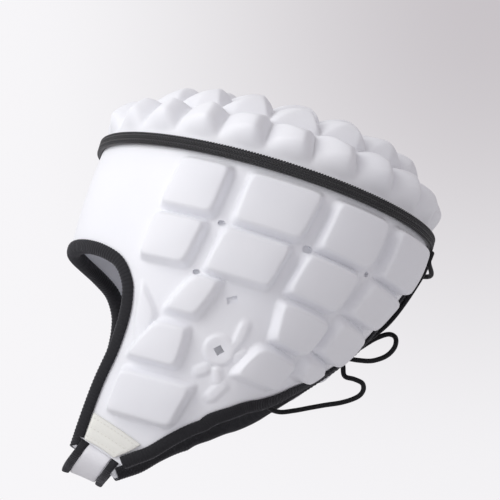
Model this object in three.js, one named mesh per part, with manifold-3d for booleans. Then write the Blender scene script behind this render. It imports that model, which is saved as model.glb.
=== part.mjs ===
// Rugby scrum cap: a bound shell of moulded foam pads with a laced rear split and a chin strap.
// Millimetres, +Z up. The wearer faces -Y and the wearer's left is +X.
// The origin is the top of the hollow, where the cap sits on the crown of the head.

import * as THREE from 'three';
import { mergeVertices } from 'three/addons/utils/BufferGeometryUtils.js';
import Module from 'manifold-3d';

const wasm = await Module();
wasm.setup();

// Driving sizes of the hollow and the walls. The lace draws the rear in by SPLIT_SINK, over
// SINK_REACH degrees to each side of the split and over these runs below the tape.
const HALF_WIDTH = 79;
const HALF_LENGTH = 98;
const CROWN_RISE = 44;
const SIDE_DROP = 184;
const WALL = 4;
const SIDE_PAD_RISE = 7;
const CROWN_PAD_RISE = 10;
const REAR_SHOULDER = 3.5;
const SPLIT_SINK = 5;
const SINK_REACH = 27;
const SINK_RUN_IN = 30;
const SINK_RUN_OUT = 50;
const SINK_END = 95;
const GAP = 0.4;
const LINING_SLACK = 0.6;

// Driving sizes of the tape, the edge binding, the chin patch and the strap
const TAPE_WIDTH = 7.4;
const TAPE_THICKNESS = 2.8;
const TAPE_CLEARANCE = 0.7;
const TAPE_BEVEL = 0.6;
const TAPE_MARGIN = 1.5;
const BINDING_DEPTH = 5.6;
const BINDING_CLOTH = 1.5;
const PATCH_HEIGHT = 14;
const PATCH_FRONT_OVERHANG = 1.5;
const PATCH_BACK_OVERHANG = -3;
const PATCH_THICKNESS = 1.3;
const STRAP_WIDTH = 26;
const STRAP_THICKNESS = 2;
const STRAP_EDGE_WIDTH = 5;
const STRAP_EDGE_THICKNESS = 3.4;
const STRAP_DEPTH = 12;
const STRAP_FORWARD = 5;
const STRAP_FULLNESS = 0.8;

// The patch stays this many binding depths off the tab's slanting front and back edges
const PATCH_FRONT_INSET = 1.15;
const PATCH_BACK_INSET = 1.7;

// Driving sizes of the lace, its rows of eyelets and its knot
const LACE_DIAMETER = 3;
const LACE_TOP = 7.5;
const LACE_PITCH = 9.5;
const LACE_ROWS = 2;
const LACE_STITCH = 4.5;
const LACE_CLEARANCE = 1.1;
const LACE_OVERPASS = 5.2;
const TAIL_SPREAD = 13;
const EYELET_INSET = 3;
const KNOT_DOWN = 79;
const KNOT_LIFT = 1;
const KNOT_RADIUS = 4.8;

// Moulded pads: how wide their sloping sides are, how far those lie outside the measured corners,
// how round their corners or tops are. A crown pad has a broad face down and forward and a steep one
// up and back.
const SIDE_SLOPE = 4.5;
const SIDE_GROWTH = 2.6;
const EDGE_MARGIN = 0.6;
const SIDE_CORNER = 3;
const BROAD_FACE = 19;
const STEEP_FACE = 8;
const CROWN_FOOT = 9;
const CROWN_PAD_FULLNESS = 1.6;
const CROWN_PAD_COUNT = 16;

// Holes through the foam
const VENT_RADIUS = 2;
const EAR_HOLE_WIDTH = 6;
const EAR_RING_RADIUS = 8.5;
const EAR_RING_RISE = 2.5;

// How finely the surfaces are divided
const FOREHEAD_COLUMNS = 10;
const SIDE_COLUMNS = 24;
const UPPER_ROWS = 14;
const LOWER_ROWS = 14;
const CROWN_COLUMNS = 5 * CROWN_PAD_COUNT;
const CROWN_ROWS = 12;
const TAPE_STATIONS = 60;
const PATCH_STEPS = 4;
const STRAP_STEPS = 16;
const LACE_STEPS = 46;
const VENT_SIDES = 6;
const EAR_HOLE_SIDES = 4;
const LACE_SIDES = 6;
const LOOP_SIDES = 8;
const KNOT_SIDES = 8;
const KNOT_RINGS = 6;
const UPPER_LOOP_STEPS = 11;
const LOWER_LOOP_STEPS = 18;
const EDGE_SAMPLES = 60;
const MOVE_STEPS = 6;
const WELD = 1e-4;

// Level sections of the hollow below the tape. down is a share of SIDE_DROP, wide of HALF_WIDTH,
// front and back of HALF_LENGTH.
const SECTIONS = [
  { down: 0, wide: 1, front: 1, back: 1 },
  { down: 0.14, wide: 1.013, front: 1.02, back: 0.99 },
  { down: 0.28, wide: 1.013, front: 1.02, back: 0.888 },
  { down: 0.413, wide: 0.987, front: 1, back: 0.745 },
  { down: 0.576, wide: 0.924, front: 0.969, back: 0.51 },
  { down: 0.739, wide: 0.823, front: 0.939, back: 0.43 },
  { down: 0.902, wide: 0.684, front: 0.898, back: 0.41 },
  { down: 1.065, wide: 0.582, front: 0.857, back: 0.4 },
];
const CROWN_ROUNDNESS = 2.1;
const CROWN_LEANING = new THREE.Vector3(0, 0.8, 0.6);
const CROWN_LEANING_SPREAD = 1.6;
const CROWN_NEIGHBOURS = 8;

// Edges of the side shell. angle is in degrees from the middle of the forehead, down a share of
// SIDE_DROP.
const FOREHEAD_EDGE = [
  { angle: 0, down: 0.365 },
  { angle: 24.3, down: 0.371 },
  { angle: 36, down: 0.387 },
  { angle: 43.5, down: 0.413 },
  { angle: 48.2, down: 0.465 },
];
const CHEEK_EDGE = [
  { angle: 48.2, down: 0.465 },
  { angle: 49.6, down: 0.514 },
  { angle: 49.9, down: 0.56 },
  { angle: 49.5, down: 0.611 },
  { angle: 48.4, down: 0.672 },
  { angle: 45.2, down: 0.771 },
  { angle: 42.6, down: 0.867 },
  { angle: 41, down: 0.935 },
];
const SPLIT_EDGE = [
  { angle: 176, down: 0 },
  { angle: 174.5, down: 0.109 },
  { angle: 172.5, down: 0.245 },
  { angle: 170.5, down: 0.38 },
  { angle: 168.2, down: 0.478 },
];
const NECK_EDGE = [
  { angle: 168.2, down: 0.478 },
  { angle: 165.3, down: 0.535 },
  { angle: 157, down: 0.584 },
  { angle: 147, down: 0.625 },
  { angle: 137, down: 0.666 },
  { angle: 123, down: 0.709 },
  { angle: 114.3, down: 0.73 },
  { angle: 104.5, down: 0.762 },
  { angle: 94.4, down: 0.794 },
  { angle: 87.5, down: 0.832 },
  { angle: 81.2, down: 0.88 },
  { angle: 74.4, down: 0.939 },
  { angle: 68.9, down: 0.971 },
  { angle: 65, down: 0.992 },
];
const SEAM_ANGLE = 52;

// Raised pads of one side. Each is a four-cornered patch: top and bottom are shares of SIDE_DROP,
// the other columns are angles of the front and back corners along its top and its bottom.
const SIDE_PADS = [
  { top: 0.05, bottom: 0.205, topFront: 58, topBack: 74, bottomFront: 55.5, bottomBack: 72.5 },
  { top: 0.05, bottom: 0.205, topFront: 81, topBack: 104, bottomFront: 79.5, bottomBack: 101 },
  { top: 0.05, bottom: 0.205, topFront: 110, topBack: 130, bottomFront: 108, bottomBack: 128.5 },
  { top: 0.05, bottom: 0.2, topFront: 136, topBack: 158, bottomFront: 135, bottomBack: 156 },
  { top: 0.235, bottom: 0.37, topFront: 55, topBack: 71.5, bottomFront: 53, bottomBack: 68.5 },
  { top: 0.235, bottom: 0.37, topFront: 78, topBack: 99.5, bottomFront: 75, bottomBack: 96.5 },
  { top: 0.235, bottom: 0.36, topFront: 106, topBack: 127, bottomFront: 104, bottomBack: 126 },
  { top: 0.23, bottom: 0.34, topFront: 134, topBack: 155, bottomFront: 132, bottomBack: 153 },
  { top: 0.395, bottom: 0.51, topFront: 72.5, topBack: 81, bottomFront: 66, bottomBack: 76.5 },
  { top: 0.395, bottom: 0.505, topFront: 104, topBack: 127, bottomFront: 108, bottomBack: 128 },
  { top: 0.37, bottom: 0.47, topFront: 132, topBack: 152, bottomFront: 133, bottomBack: 156 },
  { top: 0.553, bottom: 0.667, topFront: 64.5, topBack: 75, bottomFront: 57, bottomBack: 74.5 },
  { top: 0.54, bottom: 0.64, topFront: 104, topBack: 128, bottomFront: 96, bottomBack: 124 },
  { top: 0.5, bottom: 0.565, topFront: 133, topBack: 152, bottomFront: 135, bottomBack: 148 },
  { top: 0.712, bottom: 0.835, topFront: 56.5, topBack: 81.5, bottomFront: 54, bottomBack: 78 },
];
const EAR_HOLE = { angle: 86, down: 0.587 };
const VENTS = [
  { angle: 76, down: 0.22 },
  { angle: 104, down: 0.22 },
  { angle: 131.5, down: 0.215 },
  { angle: 72, down: 0.38 },
  { angle: 86, down: 0.435 },
];

// Rings of crown pads, the outermost first. climb is in degrees up the dome, share is the part of
// CROWN_PAD_COUNT in the ring, turn the part of a pitch by which it is turned.
const CROWN_RINGS = [
  { climb: 17, share: 1.375, turn: 0.5 },
  { climb: 45, share: 1, turn: 0 },
  { climb: 64, share: 0.625, turn: 0.5 },
  { climb: 79, share: 0.25, turn: 0 },
];

// Free loops of the lace beside the knot: x, y, z of points along the middle of the cord. The
// upper one leaves the knot and comes back to it, the lower one leaves it and ends inside the cap.
const UPPER_LOOP = [
  [-7, 74.5, -120.5], [-10.5, 81.5, -112], [-9.5, 89, -104], [-5, 95, -100.5], [0.5, 98.5, -102.5],
  [4.5, 99, -108.5], [6.5, 95.5, -115.5], [6, 88, -121], [5, 80, -123],
];
const LOWER_LOOP = [
  [1.5, 75, -134], [2, 81, -134.2], [1, 86.5, -135], [-2, 88.5, -137.8], [-6, 88, -141],
  [-10, 85, -144], [-16, 79, -147.5], [-22, 71.5, -150.5], [-28, 63.5, -154], [-32, 55, -158],
  [-31.5, 46.5, -161.5], [-27, 39.5, -161.5], [-23, 33.5, -157],
];

const radians = THREE.MathUtils.degToRad;
const white = { color: 0xf4f4f6, roughness: 0.55, metalness: 0 };
const black = { color: 0x17171a, roughness: 0.85, metalness: 0 };
const cream = { color: 0xefefe8, roughness: 0.8, metalness: 0 };

function smooth(value) {
  const t = THREE.MathUtils.clamp(value, 0, 1);
  return t * t * (3 - 2 * t);
}

// A column of SECTIONS at any depth, through smooth cubic spans
function sectionValue(down, column) {
  const share = THREE.MathUtils.clamp(down / SIDE_DROP, 0, SECTIONS.at(-1).down);
  const last = SECTIONS.length - 1;
  let k = 0;
  while (k < last - 1 && share > SECTIONS[k + 1].down) {
    k += 1;
  }
  const slope = (i) => {
    const before = SECTIONS[Math.max(i - 1, 0)];
    const after = SECTIONS[Math.min(i + 1, last)];
    return (after[column] - before[column]) / (after.down - before.down);
  };
  const a = SECTIONS[k];
  const b = SECTIONS[k + 1];
  const span = b.down - a.down;
  const t = (share - a.down) / span;
  return (2 * t ** 3 - 3 * t ** 2 + 1) * a[column]
    + (t ** 3 - 2 * t ** 2 + t) * span * slope(k)
    + (3 * t ** 2 - 2 * t ** 3) * b[column]
    + (t ** 3 - t ** 2) * span * slope(k + 1);
}

// How far the wall is drawn in by the lace, between the split's middle and the rearmost pads
function splitSink(angle, down) {
  const fromMiddle = Math.abs(180 - Math.abs(angle));
  const acrossShare = smooth(1 - fromMiddle / SINK_REACH);
  const downShare = smooth(down / SINK_RUN_IN) * smooth((SINK_END - down) / SINK_RUN_OUT);
  return SPLIT_SINK * acrossShare * downShare;
}

// Inner surface below the tape: angle in degrees from the forehead, down in millimetres
function sideSurface(angle, down) {
  const turn = radians(angle);
  const reach = Math.cos(turn) > 0 ? sectionValue(down, 'front') : sectionValue(down, 'back');
  return new THREE.Vector3(
    HALF_WIDTH * sectionValue(down, 'wide') * Math.sin(turn),
    -HALF_LENGTH * reach * Math.cos(turn) - splitSink(angle, down),
    -CROWN_RISE - down,
  );
}

// Inner surface above the tape: climb in degrees, 0 at the tape and 90 at the apex
function crownSurface(angle, climb) {
  const power = 2 / CROWN_ROUNDNESS;
  const inward = Math.max(Math.cos(radians(climb)), 0) ** power;
  const rise = Math.max(Math.sin(radians(climb)), 0) ** power;
  const rim = sideSurface(angle, 0);
  return new THREE.Vector3(rim.x * inward, rim.y * inward, CROWN_RISE * (rise - 1));
}

// A surface point moved outward along the surface's own normal
function offsetPoint(surface, u, v, distance) {
  const step = 0.05;
  const point = surface(u, v);
  const along = surface(u + step, v).sub(surface(u - step, v));
  const across = surface(u, v + step).sub(surface(u, Math.max(v - step, 0)));
  const normal = new THREE.Vector3().crossVectors(along, across).normalize();
  const outward = new THREE.Vector3(point.x, point.y, point.z + CROWN_RISE + SIDE_DROP / 2);
  if (normal.dot(outward) < 0) {
    normal.negate();
  }
  return point.addScaledVector(normal, distance);
}

function curveThrough(rows) {
  const degreeLength = radians(1) * HALF_LENGTH;
  const points = rows.map((row) => new THREE.Vector3(row.angle * degreeLength, row.down * SIDE_DROP, 0));
  const curve = new THREE.CatmullRomCurve3(points, false, 'centripetal');
  return (share) => {
    const point = curve.getPointAt(THREE.MathUtils.clamp(share, 0, 1));
    return { angle: point.x / degreeLength, down: point.y };
  };
}

const foreheadEdge = curveThrough(FOREHEAD_EDGE);
const cheekEdge = curveThrough(CHEEK_EDGE);
const splitEdge = curveThrough(SPLIT_EDGE);
const neckEdge = curveThrough(NECK_EDGE);
const templeCorner = cheekEdge(0);

function between(a, b, share) {
  return {
    angle: THREE.MathUtils.lerp(a.angle, b.angle, share),
    down: THREE.MathUtils.lerp(a.down, b.down, share),
  };
}

// A net over one side of the shell: columns run from the forehead to the split, rows from the
// tape to the edge. The forehead stops at the temple corner, the rest goes on down to the tab.
function sideNet(column, row) {
  const seamTop = { angle: SEAM_ANGLE, down: 0 };
  if (column < FOREHEAD_COLUMNS) {
    const across = column / FOREHEAD_COLUMNS;
    const bottom = foreheadEdge(across);
    return between({ angle: SEAM_ANGLE * across, down: 0 }, bottom, row / UPPER_ROWS);
  }
  const upper = row / UPPER_ROWS;
  const lower = (row - UPPER_ROWS) / LOWER_ROWS;
  const front = row <= UPPER_ROWS ? between(seamTop, templeCorner, upper) : cheekEdge(lower);
  const back = row <= UPPER_ROWS ? splitEdge(upper) : neckEdge(lower);
  return between(front, back, (column - FOREHEAD_COLUMNS) / SIDE_COLUMNS);
}

// A pad's four edge lines in flat millimetres round its middle
function padOutline(pad) {
  const middleAngle = (pad.topFront + pad.topBack + pad.bottomFront + pad.bottomBack) / 4;
  const middleDown = ((pad.top + pad.bottom) / 2) * SIDE_DROP;
  const outer = WALL + SIDE_PAD_RISE;
  const scale = offsetPoint(sideSurface, middleAngle, middleDown, outer)
    .distanceTo(offsetPoint(sideSurface, middleAngle + 1, middleDown, outer));
  const corner = (angle, down) => new THREE.Vector2(
    (angle - middleAngle) * scale,
    down * SIDE_DROP - middleDown,
  );
  const corners = [
    corner(pad.topFront, pad.top),
    corner(pad.topBack, pad.top),
    corner(pad.bottomBack, pad.bottom),
    corner(pad.bottomFront, pad.bottom),
  ];
  return { middleAngle, middleDown, scale, corners };
}

const padOutlines = SIDE_PADS.map(padOutline);

// How far inside a pad's rounded outline a place is, in millimetres
function depthInPad(outline, angle, down) {
  const place = new THREE.Vector2((angle - outline.middleAngle) * outline.scale, down - outline.middleDown);
  let sum = 0;
  outline.corners.forEach((start, k) => {
    const end = outline.corners[(k + 1) % outline.corners.length];
    const edge = end.clone().sub(start).normalize();
    const inside = edge.cross(place.clone().sub(start));
    sum += Math.exp(-inside / SIDE_CORNER);
  });
  return -SIDE_CORNER * Math.log(sum);
}

const edgePoints = [foreheadEdge, cheekEdge, splitEdge, neckEdge].flatMap((edge) => {
  const places = Array.from({ length: EDGE_SAMPLES + 1 }, (_, s) => edge(s / EDGE_SAMPLES));
  return places.map(({ angle, down }) => sideSurface(angle, down));
});

// The relief fades out before the binding, so that the binding lies flat
function edgeFade(point) {
  const distance = Math.min(...edgePoints.map((edgePoint) => edgePoint.distanceTo(point)));
  return smooth((distance - BINDING_DEPTH - EDGE_MARGIN) / SIDE_SLOPE);
}

function sideRise(angle, down) {
  let rise = 0;
  for (const outline of padOutlines) {
    const inside = depthInPad(outline, angle, down) + SIDE_GROWTH;
    rise = Math.max(rise, SIDE_PAD_RISE * smooth(inside / SIDE_SLOPE));
  }
  const ear = sideSurface(EAR_HOLE.angle, EAR_HOLE.down * SIDE_DROP);
  const point = sideSurface(angle, down);
  const distance = point.distanceTo(ear);
  const ring = EAR_RING_RISE * smooth((EAR_RING_RADIUS * 2 - distance) / EAR_RING_RADIUS);
  return Math.max(rise, ring) * edgeFade(point);
}

// Seeds of the crown pads: each pad reaches halfway to its neighbours
function crownSeeds() {
  const seeds = [crownSurface(0, 90)];
  for (const ring of CROWN_RINGS) {
    const count = Math.round(CROWN_PAD_COUNT * ring.share);
    for (let k = 0; k < count; k += 1) {
      seeds.push(crownSurface((360 * (k + ring.turn)) / count, ring.climb));
    }
  }
  return seeds;
}

const padSeeds = crownSeeds();

function crownRise(angle, climb) {
  const place = crownSurface(angle, climb);
  const sorted = padSeeds
    .map((seed) => ({ seed, distance: seed.distanceTo(place) }))
    .sort((a, b) => a.distance - b.distance);
  const [first, ...others] = sorted.slice(0, CROWN_NEIGHBOURS);
  const steps = others.map((other) => {
    const away = other.seed.clone().sub(first.seed);
    const apart = away.length();
    const inside = (other.distance ** 2 - first.distance ** 2) / (2 * apart);
    const leaning = smooth(0.5 + away.dot(CROWN_LEANING) / apart / CROWN_LEANING_SPREAD);
    return inside / THREE.MathUtils.lerp(BROAD_FACE, STEEP_FACE, leaning);
  });
  const slope = Math.min(...steps, 1);
  const fromTape = place.z + CROWN_RISE - TAPE_WIDTH / 2 - TAPE_MARGIN;
  const rearward = Math.max(-Math.cos(radians(angle)), 0);
  const shoulder = REAR_SHOULDER * rearward * Math.sin(radians(2 * climb)) ** 2;
  const pillow = CROWN_PAD_RISE * (1 - (1 - slope) ** CROWN_PAD_FULLNESS);
  return (pillow + shoulder) * smooth(fromTape / CROWN_FOOT);
}

function meshFrom(name, geometry, look) {
  const mesh = new THREE.Mesh(geometry, new THREE.MeshStandardMaterial(look));
  mesh.name = name;
  return mesh;
}

function geometryFrom(triangles) {
  const positions = new Float32Array(triangles.flat().flatMap((p) => [p.x, p.y, p.z]));
  const loose = new THREE.BufferGeometry();
  loose.setAttribute('position', new THREE.BufferAttribute(positions, 3));
  return mergeVertices(loose, WELD);
}

// A wall with a fine outer face and an inner face of cells twice as large, whose rim is as fine
// as the outer face. Columns go right and rows go down, seen from outside.
function panelTriangles(columns, rows, isCell, outer, inner) {
  const triangles = [];
  const quad = (a, b, c, d) => triangles.push([a, b, c], [a, c, d]);
  for (let i = columns.from; i < columns.to; i += 2) {
    for (let j = 0; j < rows; j += 2) {
      if (!isCell(i, j)) {
        continue;
      }
      for (const [p, q] of [[i, j], [i + 1, j], [i, j + 1], [i + 1, j + 1]]) {
        quad(outer(p, q), outer(p, q + 1), outer(p + 1, q + 1), outer(p + 1, q));
      }
      const sides = [
        { next: [i - 2, j], start: [i, j], middle: [i, j + 1], end: [i, j + 2] },
        { next: [i, j + 2], start: [i, j + 2], middle: [i + 1, j + 2], end: [i + 2, j + 2] },
        { next: [i + 2, j], start: [i + 2, j + 2], middle: [i + 2, j + 1], end: [i + 2, j] },
        { next: [i, j - 2], start: [i + 2, j], middle: [i + 1, j], end: [i, j] },
      ];
      const loop = [];
      let fanFrom = 0;
      for (const side of sides) {
        loop.push(side.start);
        if (isCell(...side.next)) {
          continue;
        }
        fanFrom = loop.length;
        loop.push(side.middle);
        for (const [a, b] of [[side.start, side.middle], [side.middle, side.end]]) {
          quad(outer(...b), outer(...a), inner(...a), inner(...b));
        }
      }
      for (let k = 1; k < loop.length - 1; k += 1) {
        const corner = (step) => inner(...loop[(fanFrom + step) % loop.length]);
        triangles.push([corner(0), corner(k + 1), corner(k)]);
      }
    }
  }
  return triangles;
}

function solidFrom(geometry) {
  return new wasm.Manifold(new wasm.Mesh({
    numProp: 3,
    vertProperties: geometry.attributes.position.array,
    triVerts: new Uint32Array(geometry.index.array),
  }));
}

function geometryOf(solid) {
  const mesh = solid.getMesh();
  const geometry = new THREE.BufferGeometry();
  geometry.setAttribute('position', new THREE.BufferAttribute(new Float32Array(mesh.vertProperties), 3));
  geometry.setIndex(new THREE.BufferAttribute(new Uint32Array(mesh.triVerts), 1));
  return geometry;
}

// A straight prism square to the wall at one place, to cut a hole
function holeCutter(place, radius, sides, mirror) {
  const down = place.down * SIDE_DROP;
  const start = offsetPoint(sideSurface, place.angle, down, -WALL);
  const end = offsetPoint(sideSurface, place.angle, down, WALL + 2 * SIDE_PAD_RISE);
  const cutter = new THREE.CylinderGeometry(radius, radius, start.distanceTo(end), sides);
  cutter.applyQuaternion(new THREE.Quaternion().setFromUnitVectors(
    new THREE.Vector3(0, 1, 0),
    end.clone().sub(start).normalize(),
  ));
  cutter.translate(...start.add(end).multiplyScalar(0.5).toArray());
  if (mirror) {
    cutter.rotateZ(Math.PI);
    cutter.scale(1, -1, 1);
    cutter.setIndex([...cutter.index.array].reverse());
  }
  cutter.deleteAttribute('normal');
  cutter.deleteAttribute('uv');
  return solidFrom(mergeVertices(cutter, WELD));
}

function sideShell() {
  const lastColumn = FOREHEAD_COLUMNS + SIDE_COLUMNS;
  const allRows = UPPER_ROWS + LOWER_ROWS;
  const isCell = (i, j) => {
    const column = i < 0 ? -i - 2 : i;
    const rows = column < FOREHEAD_COLUMNS ? UPPER_ROWS : allRows;
    return column < lastColumn && j >= 0 && j < rows;
  };
  const point = (i, j, distance) => {
    const place = sideNet(Math.abs(i), j);
    const down = place.down + (j === 0 ? GAP / 2 : 0);
    const result = offsetPoint(sideSurface, place.angle, down, distance(place.angle, down));
    result.x *= Math.sign(i);
    return result;
  };
  const outer = (i, j) => point(i, j, (angle, down) => WALL + sideRise(angle, down));
  const inner = (i, j) => point(i, j, () => 0);
  const columns = { from: -lastColumn, to: lastColumn };
  const whole = geometryFrom(panelTriangles(columns, allRows, isCell, outer, inner));
  let solid = solidFrom(whole);
  for (const mirror of [false, true]) {
    for (const vent of VENTS) {
      solid = solid.subtract(holeCutter(vent, VENT_RADIUS, VENT_SIDES, mirror));
    }
    solid = solid.subtract(holeCutter(EAR_HOLE, EAR_HOLE_WIDTH / 2, EAR_HOLE_SIDES, mirror));
  }
  return meshFrom('side_shell', geometryOf(solid), white);
}

function crownPanel() {
  const rimClimb = 0.3;
  const place = (i, j) => ({
    angle: (360 * (i % CROWN_COLUMNS)) / CROWN_COLUMNS,
    climb: 90 - (90 - rimClimb) * (j / CROWN_ROWS),
  });
  const point = (i, j, distance) => {
    const { angle, climb } = place(i, j);
    if (j === 0) {
      return new THREE.Vector3(0, 0, distance(angle, climb));
    }
    const result = offsetPoint(crownSurface, angle, climb, distance(angle, climb));
    result.z = j === CROWN_ROWS ? GAP / 2 - CROWN_RISE : result.z;
    return result;
  };
  const outer = (i, j) => point(i, j, (angle, climb) => WALL + crownRise(angle, climb));
  const inner = (i, j) => point(i, j, () => 0);
  const isCell = (i, j) => j < CROWN_ROWS;
  const columns = { from: 0, to: CROWN_COLUMNS };
  const flat = ([a, b, c]) => a.distanceTo(b) < 1e-3 || b.distanceTo(c) < 1e-3 || c.distanceTo(a) < 1e-3;
  const triangles = panelTriangles(columns, CROWN_ROWS, isCell, outer, inner).filter((t) => !flat(t));
  return meshFrom('crown_panel', geometryFrom(triangles), white);
}

// A solid through stations, each a loop of points that runs clockwise seen along the path
function sweep(name, stations, look, closed) {
  const triangles = [];
  const sides = stations[0].length;
  const spans = closed ? stations.length : stations.length - 1;
  for (let s = 0; s < spans; s += 1) {
    const here = stations[s];
    const next = stations[(s + 1) % stations.length];
    for (let k = 0; k < sides; k += 1) {
      const m = (k + 1) % sides;
      triangles.push([here[k], here[m], next[m]], [here[k], next[m], next[k]]);
    }
  }
  if (!closed) {
    for (const [station, flip] of [[stations[0], true], [stations.at(-1), false]]) {
      for (const [a, b, c] of capTriangles(station)) {
        triangles.push(flip ? [station[c], station[b], station[a]] : [station[a], station[b], station[c]]);
      }
    }
  }
  return meshFrom(name, outwardGeometry(triangles), look);
}

// Triangles over one end of a sweep, in the plane that fits it
function capTriangles(station) {
  const middle = station.reduce((sum, p) => sum.add(p), new THREE.Vector3()).divideScalar(station.length);
  const normal = new THREE.Vector3();
  station.forEach((p, k) => {
    const q = station[(k + 1) % station.length];
    normal.add(new THREE.Vector3().crossVectors(p.clone().sub(middle), q.clone().sub(middle)));
  });
  normal.normalize();
  const across = station[0].clone().sub(middle).normalize();
  const along = new THREE.Vector3().crossVectors(normal, across);
  const flat = station.map((p) => {
    const arm = p.clone().sub(middle);
    return new THREE.Vector2(arm.dot(across), arm.dot(along));
  });
  return THREE.ShapeUtils.triangulateShape(flat, []);
}

function outwardGeometry(triangles) {
  const volume = triangles.reduce((sum, [a, b, c]) => sum + a.dot(new THREE.Vector3().crossVectors(b, c)), 0);
  return geometryFrom(volume < 0 ? triangles.map(([a, b, c]) => [a, c, b]) : triangles);
}

function haloTape() {
  const near = WALL + TAPE_CLEARANCE;
  const far = near + TAPE_THICKNESS;
  const half = TAPE_WIDTH / 2;
  const section = [
    { out: near, up: half },
    { out: far - TAPE_BEVEL, up: half },
    { out: far, up: half / 2 },
    { out: far, up: -half / 2 },
    { out: far - TAPE_BEVEL, up: -half },
    { out: near, up: -half },
  ];
  const stations = [];
  for (let s = 0; s < TAPE_STATIONS; s += 1) {
    const angle = (360 * s) / TAPE_STATIONS;
    stations.push(section.map(({ out, up }) => {
      const point = offsetPoint(sideSurface, angle, 0, out);
      point.z = up - CROWN_RISE;
      return point;
    }));
  }
  return sweep('halo_tape', stations, black, true);
}

// Places along an edge of the shell, each with the direction into the panel
function edgeStations(edges, inside) {
  const places = edges.flatMap(({ edge, from, to, steps }, part) => {
    const list = [];
    for (let s = part === 0 ? 0 : 1; s <= steps; s += 1) {
      list.push(edge(THREE.MathUtils.lerp(from, to, s / steps)));
    }
    return list;
  });
  return places.map((place, k) => {
    const before = places[Math.max(k - 1, 0)];
    const after = places[Math.min(k + 1, places.length - 1)];
    const run = sideSurface(after.angle, after.down).sub(sideSurface(before.angle, before.down));
    const alongAngle = run.dot(degreeAt(place.angle, place.down).normalize());
    const alongDown = run.dot(fallAt(place.angle, place.down).normalize());
    const length = Math.hypot(alongAngle, alongDown);
    return { ...place, across: (inside * -alongDown) / length, fall: (inside * alongAngle) / length };
  });
}

// The step over the form for one degree, and for one millimetre of depth
function degreeAt(angle, down) {
  return sideSurface(angle + 0.5, down).sub(sideSurface(angle - 0.5, down));
}

function fallAt(angle, down) {
  return sideSurface(angle, down + 0.5).sub(sideSurface(angle, down - 0.5));
}

// A place moved over the form, in millimetres round it and down it
function movedPlace(place, across, fall) {
  const down = place.down + fall / fallAt(place.angle, place.down).length();
  let { angle } = place;
  for (let k = 0; k < MOVE_STEPS; k += 1) {
    angle += across / MOVE_STEPS / degreeAt(angle, down).length();
  }
  return { angle, down };
}

// Knit binding folded over an edge, its legs lying on both faces of the wall
function bindingMesh(name, stations, mirror) {
  const cloth = BINDING_CLOTH + GAP;
  const lining = -GAP - LINING_SLACK;
  const depth = BINDING_DEPTH;
  const section = [
    { into: depth, out: WALL + GAP },
    { into: -GAP, out: WALL + GAP },
    { into: -GAP, out: lining },
    { into: depth, out: lining },
    { into: depth, out: lining - BINDING_CLOTH },
    { into: 0, out: lining - BINDING_CLOTH },
    { into: -cloth, out: WALL / 2 },
    { into: 0, out: WALL + cloth },
    { into: depth, out: WALL + cloth },
  ];
  const loops = stations.map((place) => section.map(({ into, out }) => {
    const { angle, down } = movedPlace(place, place.across * into, place.fall * into);
    const point = offsetPoint(sideSurface, angle, down, out);
    point.x *= mirror ? -1 : 1;
    return point;
  }));
  return sweep(name, loops, black, false);
}

function faceBinding() {
  const left = edgeStations([
    { edge: foreheadEdge, from: 0, to: 1, steps: FOREHEAD_COLUMNS },
    { edge: cheekEdge, from: 0, to: 1, steps: LOWER_ROWS },
  ], -1);
  left[0].across = 0;
  const right = left.slice(1).reverse().map((place) => ({
    ...place,
    angle: -place.angle,
    across: -place.across,
  }));
  return bindingMesh('face_binding', [...right, ...left], false);
}

function neckBinding(name, mirror) {
  const tapeShare = (TAPE_WIDTH / 2 + TAPE_MARGIN) / splitEdge(1).down;
  const stations = edgeStations([
    { edge: splitEdge, from: tapeShare, to: 1, steps: UPPER_ROWS },
    { edge: neckEdge, from: 0, to: 1, steps: LOWER_ROWS },
  ], 1);
  return bindingMesh(name, stations, mirror);
}

// The line across the end of a chin tab, from its front corner to its back corner
function tabEnd(share) {
  return between(cheekEdge(1), neckEdge(1), share);
}

// The angle at which an edge passes a given depth
function edgeAngleAt(edge, down) {
  const halvings = 24;
  let low = 0;
  let high = 1;
  for (let k = 0; k < halvings; k += 1) {
    const middle = (low + high) / 2;
    if (edge(middle).down < down) {
      low = middle;
    } else {
      high = middle;
    }
  }
  return edge(low).angle;
}

// Stitched patch over the end of a chin tab, between the two bindings
function chinPatch(name, mirror) {
  const near = WALL + GAP;
  const far = near + PATCH_THICKNESS;
  const { angle: tabAngle, down: tabDown } = tabEnd(0.5);
  const inset = (BINDING_DEPTH + GAP) / degreeAt(tabAngle, tabDown).length();
  const section = [
    { share: 1, out: near },
    { share: 0.5, out: near },
    { share: 0, out: near },
    { share: 0, out: far },
    { share: 0.5, out: far },
    { share: 1, out: far },
  ];
  const loops = [];
  for (let s = 0; s <= PATCH_STEPS; s += 1) {
    const across = s / PATCH_STEPS;
    const overhang = THREE.MathUtils.lerp(PATCH_FRONT_OVERHANG, PATCH_BACK_OVERHANG, across);
    loops.push(section.map(({ share, out }) => {
      const down = tabEnd(across).down + THREE.MathUtils.lerp(overhang, -PATCH_HEIGHT, share);
      const front = edgeAngleAt(cheekEdge, down) + inset * PATCH_FRONT_INSET;
      const back = edgeAngleAt(neckEdge, down) - inset * PATCH_BACK_INSET;
      const point = offsetPoint(sideSurface, THREE.MathUtils.lerp(front, back, across), down, out);
      point.x *= mirror ? -1 : 1;
      return point;
    }));
  }
  return sweep(name, loops, cream, false);
}

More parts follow.
